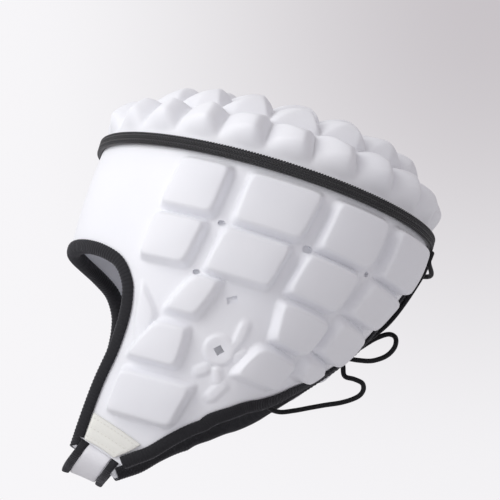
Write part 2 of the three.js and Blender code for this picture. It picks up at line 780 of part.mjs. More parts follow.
// Middle line of the strap from tab to tab. share runs from 0 at the wearer's right tab to 1 at
// the left one. Each place has the directions across the strap's width and out of its face.
function strapPlace(share) {
  const front = tabEnd(0);
  const back = tabEnd(1);
  const lift = WALL - STRAP_EDGE_THICKNESS / 2;
  const start = offsetPoint(sideSurface, front.angle, front.down, lift);
  const end = offsetPoint(sideSurface, back.angle, back.down, lift);
  const middle = start.clone().add(end).multiplyScalar(0.5);
  const turn = (share - 0.5) * Math.PI;
  const side = Math.sin(turn);
  const under = Math.max(Math.cos(turn), 0) ** STRAP_FULLNESS;
  const point = new THREE.Vector3(
    middle.x * side,
    middle.y - STRAP_FORWARD * under,
    middle.z - 2 * GAP - STRAP_DEPTH * under,
  );
  const tabDirection = end.clone().sub(start).normalize();
  const across = new THREE.Vector3(
    tabDirection.x * side,
    tabDirection.y,
    tabDirection.z * Math.abs(side),
  ).normalize();
  return { point, across };
}

// A flat band along the strap, between two places across its width
function strapBand(name, from, to, thickness, look) {
  const nearby = 0.01;
  const loops = [];
  for (let s = 0; s <= STRAP_STEPS; s += 1) {
    const share = s / STRAP_STEPS;
    const { point, across } = strapPlace(share);
    const before = strapPlace(Math.max(share - nearby, 0)).point;
    const after = strapPlace(Math.min(share + nearby, 1)).point;
    const along = after.sub(before).normalize();
    const out = new THREE.Vector3().crossVectors(along, across).normalize();
    const corner = (width, lift) => point.clone().addScaledVector(across, width).addScaledVector(out, lift);
    loops.push([
      corner(from, -thickness / 2),
      corner(to, -thickness / 2),
      corner(to, thickness / 2),
      corner(from, thickness / 2),
    ]);
  }
  return sweep(name, loops, look, false);
}

function chinStrap() {
  const half = STRAP_WIDTH / 2;
  const edge = half - STRAP_EDGE_WIDTH;
  return [
    strapBand('chin_strap', -edge + GAP / 2, edge - GAP / 2, STRAP_THICKNESS, white),
    strapBand('strap_edge_front', -half, -edge - GAP / 2, STRAP_EDGE_THICKNESS, black),
    strapBand('strap_edge_back', edge + GAP / 2, half, STRAP_EDGE_THICKNESS, black),
  ];
}

// A round cord along a smooth curve, as one closed tube
function cordTube(name, points, sides, steps) {
  const path = new THREE.CatmullRomCurve3(points, false, 'centripetal');
  const round = new THREE.Shape();
  for (let k = 0; k < sides; k += 1) {
    const turn = (2 * Math.PI * k) / sides;
    const x = (LACE_DIAMETER / 2) * Math.cos(turn);
    const y = (LACE_DIAMETER / 2) * Math.sin(turn);
    if (k === 0) {
      round.moveTo(x, y);
    } else {
      round.lineTo(x, y);
    }
  }
  const geometry = new THREE.ExtrudeGeometry(round, { steps, extrudePath: path });
  geometry.deleteAttribute('normal');
  geometry.deleteAttribute('uv');
  return meshFrom(name, mergeVertices(geometry, WELD), black);
}

const laceLift = WALL + BINDING_CLOTH + LACE_CLEARANCE + LACE_DIAMETER / 2;
const knotMiddle = offsetPoint(sideSurface, 180, KNOT_DOWN, KNOT_LIFT);

// Where a cord that comes from a given point meets the knot
function atKnot(from) {
  return knotMiddle.clone().addScaledVector(from.clone().sub(knotMiddle).normalize(), KNOT_RADIUS + GAP / 2);
}

// A place of the lace beside the split, outside the binding. side is 1 on the wearer's left.
function eyeletPlace(side, down) {
  const edge = edgeAngleAt(splitEdge, down);
  const angle = side * (edge - (BINDING_DEPTH + EYELET_INSET) / degreeAt(edge, down).length());
  return offsetPoint(sideSurface, angle, down, laceLift);
}

// Where the lace bends in from its lowest eyelet towards the knot
function tailBend(side) {
  const lowest = LACE_TOP + LACE_PITCH * (LACE_ROWS - 1) + LACE_STITCH / 2;
  const down = (lowest + KNOT_DOWN) / 2;
  const angle = side * ((180 + edgeAngleAt(splitEdge, down)) / 2);
  return offsetPoint(sideSurface, angle, down, laceLift + GAP);
}

// Where an end of the lace meets the knot, on that side's shoulder
function tailEnd(side) {
  const from = tailBend(side);
  from.x = side * TAIL_SPREAD;
  return atKnot(from);
}

// The lace crosses the split from eyelet to eyelet up to the top and back down to the knot
function lace() {
  const over = laceLift + LACE_OVERPASS;
  const depth = (row) => LACE_TOP + LACE_PITCH * row;
  const eyelet = (side, row, end) => eyeletPlace(side, depth(row) + (end * LACE_STITCH) / 2);
  const crossing = (down, lift) => offsetPoint(sideSurface, 180, down, lift);
  const points = [tailEnd(1), tailBend(1)];
  let side = 1;
  for (let row = LACE_ROWS - 1; row >= 0; row -= 1) {
    points.push(eyelet(side, row, 1), eyelet(side, row, -1));
    points.push(crossing(row > 0 ? depth(row - 0.5) : depth(0), laceLift));
    side = -side;
  }
  for (let row = 0; row < LACE_ROWS; row += 1) {
    points.push(eyelet(side, row, -1), eyelet(side, row, 1));
    if (row < LACE_ROWS - 1) {
      points.push(crossing(depth(row + 0.5), over));
      side = -side;
    }
  }
  points.push(tailBend(-1), tailEnd(-1));
  return cordTube('lace', points, LACE_SIDES, LACE_STEPS);
}

function laceKnot() {
  const ball = new THREE.SphereGeometry(KNOT_RADIUS, KNOT_SIDES, KNOT_RINGS);
  ball.translate(...knotMiddle.toArray());
  ball.deleteAttribute('normal');
  ball.deleteAttribute('uv');
  return meshFrom('lace_knot', mergeVertices(ball, WELD), black);
}

function upperLoop() {
  const route = UPPER_LOOP.map(([x, y, z]) => new THREE.Vector3(x, y, z));
  const points = [atKnot(route[0]), ...route, atKnot(route.at(-1))];
  return cordTube('lace_loop_upper', points, LOOP_SIDES, UPPER_LOOP_STEPS);
}

function lowerLoop() {
  const route = LOWER_LOOP.map(([x, y, z]) => new THREE.Vector3(x, y, z));
  return cordTube('lace_loop_lower', [atKnot(route[0]), ...route], LOOP_SIDES, LOWER_LOOP_STEPS);
}

const group = new THREE.Group();
group.add(
  crownPanel(),
  sideShell(),
  haloTape(),
  faceBinding(),
  neckBinding('neck_binding_left', false),
  neckBinding('neck_binding_right', true),
  chinPatch('chin_patch_left', false),
  chinPatch('chin_patch_right', true),
  ...chinStrap(),
  lace(),
  laceKnot(),
  upperLoop(),
  lowerLoop(),
);
export default group;
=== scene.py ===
# %% [markdown]
# # A rugby scrum cap in white moulded foam
# The cap is a soft shell of foam pads. A flat black braid covers the seam between crown and side,
# a dark knit tape is folded over every free edge, and a lace closes the split at the back. This
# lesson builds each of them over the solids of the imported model, in the same frame, so that
# nothing has to be fitted by eye. We work in millimetres and turn them into metres only when a
# mesh is made.

import math

import bmesh
import bpy
import numpy as np
from mathutils import Matrix, Vector


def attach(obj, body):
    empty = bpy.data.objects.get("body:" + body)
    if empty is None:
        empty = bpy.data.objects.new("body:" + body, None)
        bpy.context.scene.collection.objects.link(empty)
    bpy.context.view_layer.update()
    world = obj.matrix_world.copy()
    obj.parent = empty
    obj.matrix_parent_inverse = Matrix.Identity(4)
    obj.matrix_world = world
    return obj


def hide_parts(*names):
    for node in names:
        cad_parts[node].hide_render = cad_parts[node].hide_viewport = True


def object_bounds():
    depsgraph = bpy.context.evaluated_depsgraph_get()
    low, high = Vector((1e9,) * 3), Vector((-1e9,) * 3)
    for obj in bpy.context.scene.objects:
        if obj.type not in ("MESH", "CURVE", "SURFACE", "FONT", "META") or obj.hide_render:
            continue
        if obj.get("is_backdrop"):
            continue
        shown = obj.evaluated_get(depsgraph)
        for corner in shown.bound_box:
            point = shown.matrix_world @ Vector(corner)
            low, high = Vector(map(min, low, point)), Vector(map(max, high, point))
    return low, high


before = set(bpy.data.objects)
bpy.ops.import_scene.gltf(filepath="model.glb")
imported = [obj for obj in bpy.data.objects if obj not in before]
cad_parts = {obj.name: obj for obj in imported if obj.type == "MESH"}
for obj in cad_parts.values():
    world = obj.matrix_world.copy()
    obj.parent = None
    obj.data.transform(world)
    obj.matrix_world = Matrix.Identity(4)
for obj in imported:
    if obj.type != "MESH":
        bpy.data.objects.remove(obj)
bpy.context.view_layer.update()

MM = 0.001
print("solids to dress:", len(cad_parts))

# %% [markdown]
# ## The camera
# A long lens far away keeps the cap's outline nearly parallel, as in a catalogue picture. The
# camera stands a little below the cap on the wearer's left and is rolled, so the cap leans to the
# right of the picture. The aim point should land on a chosen pixel, so the lens axis is turned
# by that pixel's distance from the middle rather than shifted.

# %% Camera
PICTURE_SIZE = 500
CAMERA_PLACE = Vector((1200, -72, -332)) * MM
AIM_POINT = Vector((0, 0, -105)) * MM
AIM_PIXEL = (238, 294)
FOCAL_PIXELS = 2042
SENSOR_WIDTH = 36
ROLL = math.radians(16.4)


def camera_axes():
    """The picture's right and up directions and the lens axis, in the frame of the cap."""
    ahead = (AIM_POINT - CAMERA_PLACE).normalized()
    level = ahead.cross(Vector((0, 0, 1))).normalized()
    upright = level.cross(ahead)
    right = level * math.cos(ROLL) + upright * math.sin(ROLL)
    up = upright * math.cos(ROLL) - level * math.sin(ROLL)
    middle = PICTURE_SIZE / 2
    across = (middle - AIM_PIXEL[0]) / FOCAL_PIXELS
    above = (AIM_PIXEL[1] - middle) / FOCAL_PIXELS
    axis = (ahead + right * across + up * above).normalized()
    right = (right - axis * right.dot(axis)).normalized()
    return right, right.cross(axis), axis


picture_right, picture_up, lens_axis = camera_axes()
camera = bpy.data.objects.new("camera", bpy.data.cameras.new("camera"))
bpy.context.scene.collection.objects.link(camera)
camera.data.sensor_width = SENSOR_WIDTH
camera.data.lens = FOCAL_PIXELS / PICTURE_SIZE * SENSOR_WIDTH
camera.matrix_world = Matrix.Translation(CAMERA_PLACE) @ Matrix(
    (picture_right, picture_up, -lens_axis)
).transposed().to_4x4()
bpy.context.scene.camera = camera
print("lens in mm:", round(camera.data.lens, 1))

# %% [markdown]
# ## Smooth curves through a few points
# Edges of the foam, laces and the strap all follow smooth lines through short lists of points. A
# centripetal Catmull-Rom curve passes through every point without loops or overshoot. Once it is
# cut into equal steps, anything can be laid along it at a real distance.

# %% Curves
SPAN_STEPS = 60


def curve_points(points):
    """A fine polyline along the smooth curve through some points."""
    points = np.array(points, float)
    ends = 2 * points[[0, -1]] - points[[1, -2]]
    points = np.vstack([ends[:1], points, ends[1:]])
    gaps = np.sqrt(np.linalg.norm(np.diff(points, axis=0), axis=1))
    pieces = []
    for k in range(1, len(points) - 2):
        before, here, after = gaps[k - 1 : k + 2]
        a, b, c, d = points[k - 1 : k + 3]
        start = ((b - a) / before - (c - a) / (before + here) + (c - b) / here) * here
        end = ((c - b) / here - (d - b) / (here + after) + (d - c) / after) * here
        t = np.linspace(0, 1, SPAN_STEPS, endpoint=False)[:, None]
        pieces.append(
            (2 * t**3 - 3 * t**2 + 1) * b
            + (t**3 - 2 * t**2 + t) * start
            + (3 * t**2 - 2 * t**3) * c
            + (t**3 - t**2) * end
        )
    return np.vstack(pieces + [points[-2:-1]])


def lengths_along(line):
    """Distance from a polyline's start to each of its points."""
    return np.concatenate([[0], np.cumsum(np.linalg.norm(np.diff(line, axis=0), axis=1))])


def at_shares(line, shares):
    """Points of a polyline at shares of its length."""
    along = lengths_along(line)
    wanted = np.clip(shares, 0, 1) * along[-1]
    return np.stack([np.interp(wanted, along, column) for column in line.T], axis=-1)


def even_steps(line, step):
    """The same line cut into equal steps of about the given length."""
    count = max(int(round(lengths_along(line)[-1] / step)), 2)
    return at_shares(line, np.linspace(0, 1, count + 1))


# %% [markdown]
# ## The head form
# The hollow of the cap is an adult head: level oval sections below the tape and a soft dome above
# it. Two functions give any point of it, from an angle round the head and a depth or a climb. All
# the pieces are laid on this form at some distance along its own normal, so they follow
# each other exactly.

# %% Head form
HALF_WIDTH = 79
HALF_LENGTH = 98
CROWN_RISE = 44
SIDE_DROP = 184
WALL = 4
GAP = 0.4
SPLIT_SINK = 5
SINK_REACH = 27
SINK_RUN_IN = 30
SINK_RUN_OUT = 50
SINK_END = 95
CROWN_ROUNDNESS = 2.1
DEGREE_LENGTH = math.radians(1) * HALF_LENGTH

# Level sections: down is a share of SIDE_DROP, wide of HALF_WIDTH, front and back of HALF_LENGTH
SECTIONS = {
    "down": [0, 0.14, 0.28, 0.413, 0.576, 0.739, 0.902, 1.065],
    "wide": [1, 1.013, 1.013, 0.987, 0.924, 0.823, 0.684, 0.582],
    "front": [1, 1.02, 1.02, 1, 0.969, 0.939, 0.898, 0.857],
    "back": [1, 0.99, 0.888, 0.745, 0.51, 0.43, 0.41, 0.4],
}


def section_value(down, column):
    """One column of SECTIONS at any depth in millimetres, through smooth cubic spans."""
    knots = np.array(SECTIONS["down"], float)
    values = np.array(SECTIONS[column], float)
    last = len(knots) - 1
    before = np.maximum(np.arange(last + 1) - 1, 0)
    after = np.minimum(np.arange(last + 1) + 1, last)
    slopes = (values[after] - values[before]) / (knots[after] - knots[before])
    share = np.clip(np.asarray(down, float) / SIDE_DROP, 0, knots[-1])
    k = np.clip(np.searchsorted(knots, share) - 1, 0, last - 1)
    span = knots[k + 1] - knots[k]
    t = (share - knots[k]) / span
    return (
        (2 * t**3 - 3 * t**2 + 1) * values[k]
        + (t**3 - 2 * t**2 + t) * span * slopes[k]
        + (3 * t**2 - 2 * t**3) * values[k + 1]
        + (t**3 - t**2) * span * slopes[k + 1]
    )


def smooth_step(value):
    t = np.clip(value, 0, 1)
    return t * t * (3 - 2 * t)


def split_sink(angle, down):
    """How far the lace draws the wall in beside the split, in millimetres."""
    across = smooth_step(1 - np.abs(180 - np.abs(angle)) / SINK_REACH)
    depth = smooth_step(down / SINK_RUN_IN) * smooth_step((SINK_END - down) / SINK_RUN_OUT)
    return SPLIT_SINK * across * depth


def side_form(angle, down):
    """The hollow below the tape: angle in degrees from the forehead, down in millimetres."""
    angle, down = np.broadcast_arrays(np.asarray(angle, float), np.asarray(down, float))
    turn = np.radians(angle)
    reach = np.where(np.cos(turn) > 0, section_value(down, "front"), section_value(down, "back"))
    return np.stack(
        [
            HALF_WIDTH * section_value(down, "wide") * np.sin(turn),
            -HALF_LENGTH * reach * np.cos(turn) - split_sink(angle, down),
            -CROWN_RISE - down,
        ],
        axis=-1,
    )


def step_for_degree(angle, down):
    """The step over the form for one degree round the head."""
    return side_form(angle + 0.5, down) - side_form(angle - 0.5, down)


def step_for_depth(angle, down):
    """The step over the form for one millimetre of depth."""
    return side_form(angle, down + 0.5) - side_form(angle, down - 0.5)


def crown_form(angle, climb):
    """The hollow above the tape: climb is 0 at the tape and 90 at the top of the head."""
    power = 2 / CROWN_ROUNDNESS
    inward = np.maximum(np.cos(np.radians(climb)), 0) ** power
    rise = np.maximum(np.sin(np.radians(climb)), 0) ** power
    rim = side_form(angle, 0)
    height = CROWN_RISE * (rise - 1) + 0 * rim[..., 2]
    return np.stack([rim[..., 0] * inward, rim[..., 1] * inward, height], axis=-1)


ring = side_form(np.arange(361), 0)
print("tape ring round in mm:", round(lengths_along(ring)[-1]))

# %% [markdown]
# ## Off the form
# Foam, tape and cord all lie at some distance from the head. Moving a point straight outwards needs
# the form's normal, which is the cross product of two tiny steps over the form. It points away from
# the middle of the head.

# %% Off the form
PROBE_STEP = 0.05
TINY = 1e-9


def off_form(form, u, v, distance):
    """Points of a form moved outwards along its own normal."""
    point = form(u, v)
    along = form(u + PROBE_STEP, v) - form(u - PROBE_STEP, v)
    across = form(u, v + PROBE_STEP) - form(u, np.maximum(v - PROBE_STEP, 0))
    normal = np.cross(along, across)
    length = np.linalg.norm(normal, axis=-1, keepdims=True)
    normal = np.where(length > TINY, normal / np.maximum(length, TINY), [0, 0, 1])
    outward = point + [0, 0, CROWN_RISE + SIDE_DROP / 2]
    facing = np.sign(np.sum(normal * outward, axis=-1, keepdims=True))
    return point + normal * facing * np.asarray(distance, float)[..., None]


# %% [markdown]
# ## Edges of the side panel
# The panel has two free edges on each side. One frames the face, over the forehead and down the
# cheek. The other runs down the split at the back and forward along the neck. Each is one smooth
# curve over the head form, so the foam and the tape folded over it use the same line.

# %% Edges
# angle in degrees from the forehead, down as a share of SIDE_DROP
FACE_EDGE = {
    "angle": [0, 24.3, 36, 43.5, 48.2, 49.6, 49.9, 49.5, 48.4, 45.2, 42.6, 41],
    "down": [0.365, 0.371, 0.387, 0.413, 0.465, 0.514, 0.56, 0.611, 0.672, 0.771, 0.867, 0.935],
}
NECK_EDGE = {
    "angle": [
        176, 174.5, 172.5, 170.5, 168.2, 165.3, 157, 147, 137, 123, 114.3, 104.5, 94.4, 87.5, 81.2, 74.4,
        68.9, 65,
    ],
    "down": [
        0, 0.109, 0.245, 0.38, 0.478, 0.535, 0.584, 0.625, 0.666, 0.709, 0.73, 0.762, 0.794, 0.832, 0.88,
        0.939, 0.971, 0.992,
    ],
}
CORNER = 4


def edge_line(table):
    """An edge as a fine polyline in flat millimetres: along the form, and down."""
    flat = zip(np.array(table["angle"]) * DEGREE_LENGTH, np.array(table["down"]) * SIDE_DROP)
    return curve_points(list(flat))


def as_places(flat):
    """Flat millimetres as an angle and a depth."""
    return flat[..., 0] / DEGREE_LENGTH, flat[..., 1]


face_line = edge_line(FACE_EDGE)
neck_line = edge_line(NECK_EDGE)
forehead_part = face_line[: CORNER * SPAN_STEPS + 1]
cheek_part = face_line[CORNER * SPAN_STEPS :]
split_part = neck_line[: CORNER * SPAN_STEPS + 1]
nape_part = neck_line[CORNER * SPAN_STEPS :]
print("face edge in mm:", round(2 * lengths_along(face_line)[-1]))

# %% [markdown]
# ## A net over the side panel
# A moulded panel is a height over the head form, so a net of even cells can carry it. The forehead
# stops at the temple and the rest goes on down to the chin tab, which gives two blocks. The outer
# face is finely divided for the pads, the inner face has cells four times as wide, and the rim
# between them is as fine as the outer face.

# %% Net
SEAM_ANGLE = 52
FOREHEAD_CELLS = 40
SIDE_CELLS = 184
UPPER_CELLS = 84
LOWER_CELLS = 88
COARSE = 4


def mix(a, b, share):
    return a + (b - a) * share[..., None]


def side_net(column, row):
    """Angle and depth of a node: columns run back from the forehead, rows down from the tape."""
    column, row = np.broadcast_arrays(np.asarray(column, float), np.asarray(row, float))
    upper = np.clip(row / UPPER_CELLS, 0, 1)
    lower = np.clip((row - UPPER_CELLS) / LOWER_CELLS, 0, 1)
    across = np.clip(column / FOREHEAD_CELLS, 0, 1)
    top = np.stack([SEAM_ANGLE * DEGREE_LENGTH * across, 0 * across], axis=-1)
    forehead = mix(top, at_shares(forehead_part, across), upper)
    seam_top = np.array([SEAM_ANGLE * DEGREE_LENGTH, 0])
    is_upper = (row <= UPPER_CELLS)[..., None]
    front = np.where(is_upper, mix(seam_top, cheek_part[0], upper), at_shares(cheek_part, lower))
    back = np.where(is_upper, at_shares(split_part, upper), at_shares(nape_part, lower))
    side = mix(front, back, (column - FOREHEAD_CELLS) / SIDE_CELLS)
    return as_places(np.where((column < FOREHEAD_CELLS)[..., None], forehead, side))


print("columns of the whole net:", 2 * (FOREHEAD_CELLS + SIDE_CELLS))

# %% [markdown]
# ## Walls
# A moulded panel is a closed wall. Blender's Solidify could thicken a single sheet, but then the
# inside would copy every pad. So the wall is built face by face from two functions, one for its
# outer face and one for its smooth inside. Two small helpers make any piece, and hide the solid
# it stands for.

# %% Walls
WELD_DISTANCE = 2e-6


def new_piece(name, points, faces, material, mend, corners=()):
    """A shown object at the origin, from points in millimetres, smooth and with one finish."""
    data = bpy.data.meshes.new(name)
    data.from_pydata((points * MM).tolist(), [], faces)
    if corners:
        layer = data.uv_layers.new(name="cloth")
        layer.data.foreach_set("uv", np.array(corners, float).ravel())
    work = bmesh.new()
    work.from_mesh(data)
    mend(work)
    work.to_mesh(data)
    work.free()
    data.materials.append(material)
    data.shade_smooth()
    print(name, "faces:", len(data.polygons))
    piece = bpy.data.objects.new(name, data)
    bpy.context.scene.collection.objects.link(piece)
    return piece


def dress(piece, node):
    """The piece joins the cap's one body, and the solid it stands for is hidden."""
    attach(piece, "root")
    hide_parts(node)


def weld(work):
    """Drops the nodes that no face uses and joins those that meet."""
    loose = [vertex for vertex in work.verts if not vertex.link_faces]
    bmesh.ops.delete(work, geom=loose, context="VERTS")
    bmesh.ops.remove_doubles(work, verts=work.verts, dist=WELD_DISTANCE)


def wall_mesh(name, columns, rows, is_cell, outer, inner, material):
    """A wall over a net: fine outside, coarse inside, joined by a rim along the free edges."""
    low, high = columns
    i, j = np.meshgrid(np.arange(low, high + 1), np.arange(rows + 1), indexing="ij")
    count = i.size
    points = np.vstack([outer(i, j).reshape(-1, 3), inner(i, j).reshape(-1, 3)])

    def node(place, inside=0):
        return (place[0] - low) * (rows + 1) + place[1] + inside * count

    faces = []
    for a in range(low, high, COARSE):
        for b in range(0, rows, COARSE):
            if not is_cell(a, b):
                continue
            for p in range(a, a + COARSE):
                for q in range(b, b + COARSE):
                    faces.append(
                        [node((p, q)), node((p, q + 1)), node((p + 1, q + 1)), node((p + 1, q))]
                    )
            steps = range(COARSE)
            sides = [
                ((a - COARSE, b), [(a, b + k) for k in steps]),
                ((a, b + COARSE), [(a + k, b + COARSE) for k in steps]),
                ((a + COARSE, b), [(a + COARSE, b + COARSE - k) for k in steps]),
                ((a, b - COARSE), [(a + COARSE - k, b) for k in steps]),
            ]
            loop = []
            for s, (neighbour, nodes) in enumerate(sides):
                if is_cell(*neighbour):
                    loop.append(nodes[0])
                    continue
                loop.extend(nodes)
                run = nodes + [sides[(s + 1) % 4][1][0]]
                for start, end in zip(run, run[1:]):
                    faces.append([node(end), node(start), node(start, 1), node(end, 1)])
            faces.append([node(place, 1) for place in reversed(loop)])
    return new_piece(name, points, faces, material, weld)


# %% [markdown]
# ## Bands and tubes
# Tape, webbing, binding and cord are all one section carried along a line, so one helper joins a
# row of loops into a closed skin. It also writes down a flat map in millimetres, along and round the
# band, which a knit or a braid can follow.

# %% Bands and tubes
def face_outwards(work):
    bmesh.ops.recalc_face_normals(work, faces=work.faces)


def band_mesh(name, loops, material, closed=False):
    """Loops of points joined in order. Its map holds millimetres along and round the band."""
    loops = np.asarray(loops, float)
    stations, sides = loops.shape[:2]
    along = lengths_along(loops.mean(axis=1))
    around = lengths_along(np.vstack([loops[0], loops[0][:1]]))
    step = along[1] - along[0]
    faces, corners = [], []
    for s in range(stations if closed else stations - 1):
        after = (s + 1) % stations
        near, far = along[s], along[s] + step
        for k in range(sides):
            m = (k + 1) % sides
            faces.append([s * sides + k, s * sides + m, after * sides + m, after * sides + k])
            corners += [(near, around[k]), (near, around[k + 1]), (far, around[k + 1]), (far, around[k])]
    if not closed:
        last = (stations - 1) * sides
        faces += [list(range(sides)), list(range(last, last + sides))]
        corners += [(0, 0)] * (2 * sides)
    return new_piece(name, loops.reshape(-1, 3), faces, material, face_outwards, corners)


# %% [markdown]
# ## Finishes
# The foam has a closed satin skin with the faintest grain. The trim is textile: knit tape, flat
# braid and round cord are all black, but each catches light in its own way, with the fuzz of
# its yarn as sheen. Patterns on the tapes follow the map in millimetres, the foam's grain follows
# the object.

# %% Finish helpers
# the part of the noise over which one colour turns into the other
MOTTLE_SPAN = (0.35, 0.65)


def new_material(name, color, roughness, **sockets):
    """A material whose shader has plain constants on its own sockets."""
    material = bpy.data.materials.new(name)
    material.use_nodes = True
    shader = material.node_tree.nodes["Principled BSDF"]
    shader.inputs["Base Color"].default_value = (*color, 1)
    shader.inputs["Roughness"].default_value = roughness
    for socket, value in sockets.items():
        shader.inputs[socket.replace("_", " ")].default_value = value
    return material


def add_node(material, kind, **values):
    node = material.node_tree.nodes.new(kind)
    for name, value in values.items():
        if hasattr(node, name):
            setattr(node, name, value)
        else:
            node.inputs[name.replace("_", " ")].default_value = value
    return node


def join(material, source, output, target, socket):
    material.node_tree.links.new(source.outputs[output], target.inputs[socket])


def add_bump(material, source, output, strength, distance):
    """A height in millimetres raised into the shader's normal."""
    bump = add_node(material, "ShaderNodeBump", Strength=strength, Distance=distance * MM)
    join(material, source, output, bump, "Height")
    join(material, bump, "Normal", material.node_tree.nodes["Principled BSDF"], "Normal")
    return bump


def mottle(material, low, high, scale):
    """Soft cloudy change between two colours, over the object."""
    place = add_node(material, "ShaderNodeTexCoord")
    noise = add_node(material, "ShaderNodeTexNoise", Scale=scale, Detail=3.0)
    ramp = add_node(material, "ShaderNodeValToRGB")
    for stop, position, color in zip(ramp.color_ramp.elements, MOTTLE_SPAN, (low, high)):
        stop.position = position
        stop.color = (*color, 1)
    join(material, place, "Object", noise, "Vector")
    join(material, noise, "Fac", ramp, "Fac")
    join(material, ramp, "Color", material.node_tree.nodes["Principled BSDF"], "Base Color")


# %% [markdown]
# ## Foam and cloth
# The foam could be a plain white, but a large even surface then looks like plaster. Clouds of two
# near whites and a fine grain make it a moulded skin. All the cloths share one recipe, which takes
# the spacing of its ribs along and across the map.

# %% Foam and cloth
CLOUD_SCALE = 22.0
GRAIN_SCALE = 1500.0
GRAIN_STRENGTH = 0.12
GRAIN_DEPTH = 0.12
WEAVE_STRENGTH = 0.5


def foam_finish():
    """White closed-skin foam: satin, very slightly cool, with a fine grain."""
    material = new_material(
        "white foam", (0.875, 0.885, 0.92), 0.48, Specular_IOR_Level=0.42, Sheen_Weight=0.05
    )
    mottle(material, (0.868, 0.878, 0.915), (0.885, 0.893, 0.925), CLOUD_SCALE)
    place = add_node(material, "ShaderNodeTexCoord")
    grain = add_node(material, "ShaderNodeTexNoise", Scale=GRAIN_SCALE, Detail=2.0)
    join(material, place, "Object", grain, "Vector")
    add_bump(material, grain, "Fac", GRAIN_STRENGTH, GRAIN_DEPTH)
    return material


def ribbed_finish(name, color, sheen, wale_scale, course_scale, depth):
    """Textile with fine wales along the map and courses across it, depth in millimetres."""
    material = new_material(
        name, color, 0.82, Specular_IOR_Level=0.25, Sheen_Weight=0.55, Sheen_Roughness=0.35
    )
    material.node_tree.nodes["Principled BSDF"].inputs["Sheen Tint"].default_value = (*sheen, 1)
    place = add_node(material, "ShaderNodeUVMap", uv_map="cloth")
    both = add_node(material, "ShaderNodeMath", operation="MULTIPLY")
    for socket, (way, scale, wander) in enumerate((("Y", wale_scale, 0.6), ("X", course_scale, 0.8))):
        waves = add_node(
            material, "ShaderNodeTexWave", bands_direction=way, Scale=scale, Distortion=wander, Detail=1.0
        )
        join(material, place, "UV", waves, "Vector")
        join(material, waves, "Fac", both, socket)
    add_bump(material, both, "Value", WEAVE_STRENGTH, depth)
    return material


white_foam = foam_finish()
# colour, colour of the fuzz, ribs along and across the map, and their depth in millimetres
black_knit = ribbed_finish("black knit", (0.02, 0.02, 0.023), (0.4, 0.4, 0.43), 0.42, 0.3, 0.3)
black_cord = ribbed_finish("black cord", (0.014, 0.014, 0.016), (0.4, 0.4, 0.42), 0.3, 0.28, 0.35)
white_webbing = ribbed_finish("white webbing", (0.83, 0.83, 0.86), (1, 1, 1), 0.3, 0.4, 0.12)
cream_cloth = ribbed_finish("cream cloth", (0.84, 0.84, 0.79), (1, 1, 0.96), 0.35, 0.35, 0.15)
cream_thread = new_material("cream thread", (0.74, 0.73, 0.67), 0.7, Sheen_Weight=0.3)
black_braid = new_material(
    "black braid", (0.018, 0.018, 0.021), 0.7, Specular_IOR_Level=0.3, Sheen_Weight=0.35
)
print("finishes:", len(bpy.data.materials))

# %% [markdown]
# ## The lace
# A round cord closes the split at the back and is tied in a knot at its foot. Two free lengths
# stand off from the knot. Each is one smooth line through a few chosen points, the same as in the
# solid model, with a round section carried along it.

# %% Cord helpers
LACE_DIAMETER = 3
LACE_SIDES = 14
LACE_STEP = 0.7


def tube_loops(line, radius, sides):
    """Round loops along a line, carried without twisting."""
    tangent = np.gradient(line, axis=0)
    tangent /= np.linalg.norm(tangent, axis=-1, keepdims=True)
    side = np.cross(tangent[0], [0, 0, 1])
    turn = np.linspace(0, 2 * np.pi, sides, endpoint=False)
    loops = []
    for place, ahead in zip(line, tangent):
        side = side - ahead * (side @ ahead)
        side = side / np.linalg.norm(side)
        other = np.cross(ahead, side)
        loops.append(place + radius * (np.cos(turn)[:, None] * side + np.sin(turn)[:, None] * other))
    return np.array(loops)


# %% [markdown]
# ## The free lengths of lace
# A limp cord could be left to a cloth simulation, but here its shape is known from the picture. So
# each free length is a given route, drawn smoothly.

# %% Knot and free lengths
LACE_CLEARANCE = 1.1
BINDING_CLOTH = 1.5
KNOT_DOWN = 79
KNOT_LIFT = 1
KNOT_RADIUS = 4.8
LACE_LIFT = WALL + BINDING_CLOTH + LACE_CLEARANCE + LACE_DIAMETER / 2
REAR = 180
UPPER_LOOP = [
    (-7, 74.5, -120.5), (-10.5, 81.5, -112), (-9.5, 89, -104), (-5, 95, -100.5), (0.5, 98.5, -102.5),
    (4.5, 99, -108.5), (6.5, 95.5, -115.5), (6, 88, -121), (5, 80, -123),
]
LOWER_LOOP = [
    (1.5, 75, -134), (2, 81, -134.2), (1, 86.5, -135), (-2, 88.5, -137.8), (-6, 88, -141),
    (-10, 85, -144), (-16, 79, -147.5), (-22, 71.5, -150.5), (-28, 63.5, -154), (-32, 55, -158),
    (-31.5, 46.5, -161.5), (-27, 39.5, -161.5), (-23, 33.5, -157),
]
knot_middle = off_form(side_form, REAR, KNOT_DOWN, KNOT_LIFT)


def at_knot(place):
    """Where a cord that comes from a place meets the knot."""
    away = np.array(place, float) - knot_middle
    return knot_middle + away / np.linalg.norm(away) * (KNOT_RADIUS + GAP / 2)


def free_length(name, node, route):
    """A length of lace along its route."""
    line = even_steps(curve_points(route), LACE_STEP)
    piece = band_mesh(name, tube_loops(line, LACE_DIAMETER / 2, LACE_SIDES), black_cord)
    dress(piece, node)
    return piece


upper_route = [at_knot(UPPER_LOOP[0]), *UPPER_LOOP, at_knot(UPPER_LOOP[-1])]
lower_route = [at_knot(LOWER_LOOP[0]), *LOWER_LOOP]
free_length("lace_upper_cord", "lace_loop_upper", upper_route)
free_length("lace_lower_cord", "lace_loop_lower", lower_route)

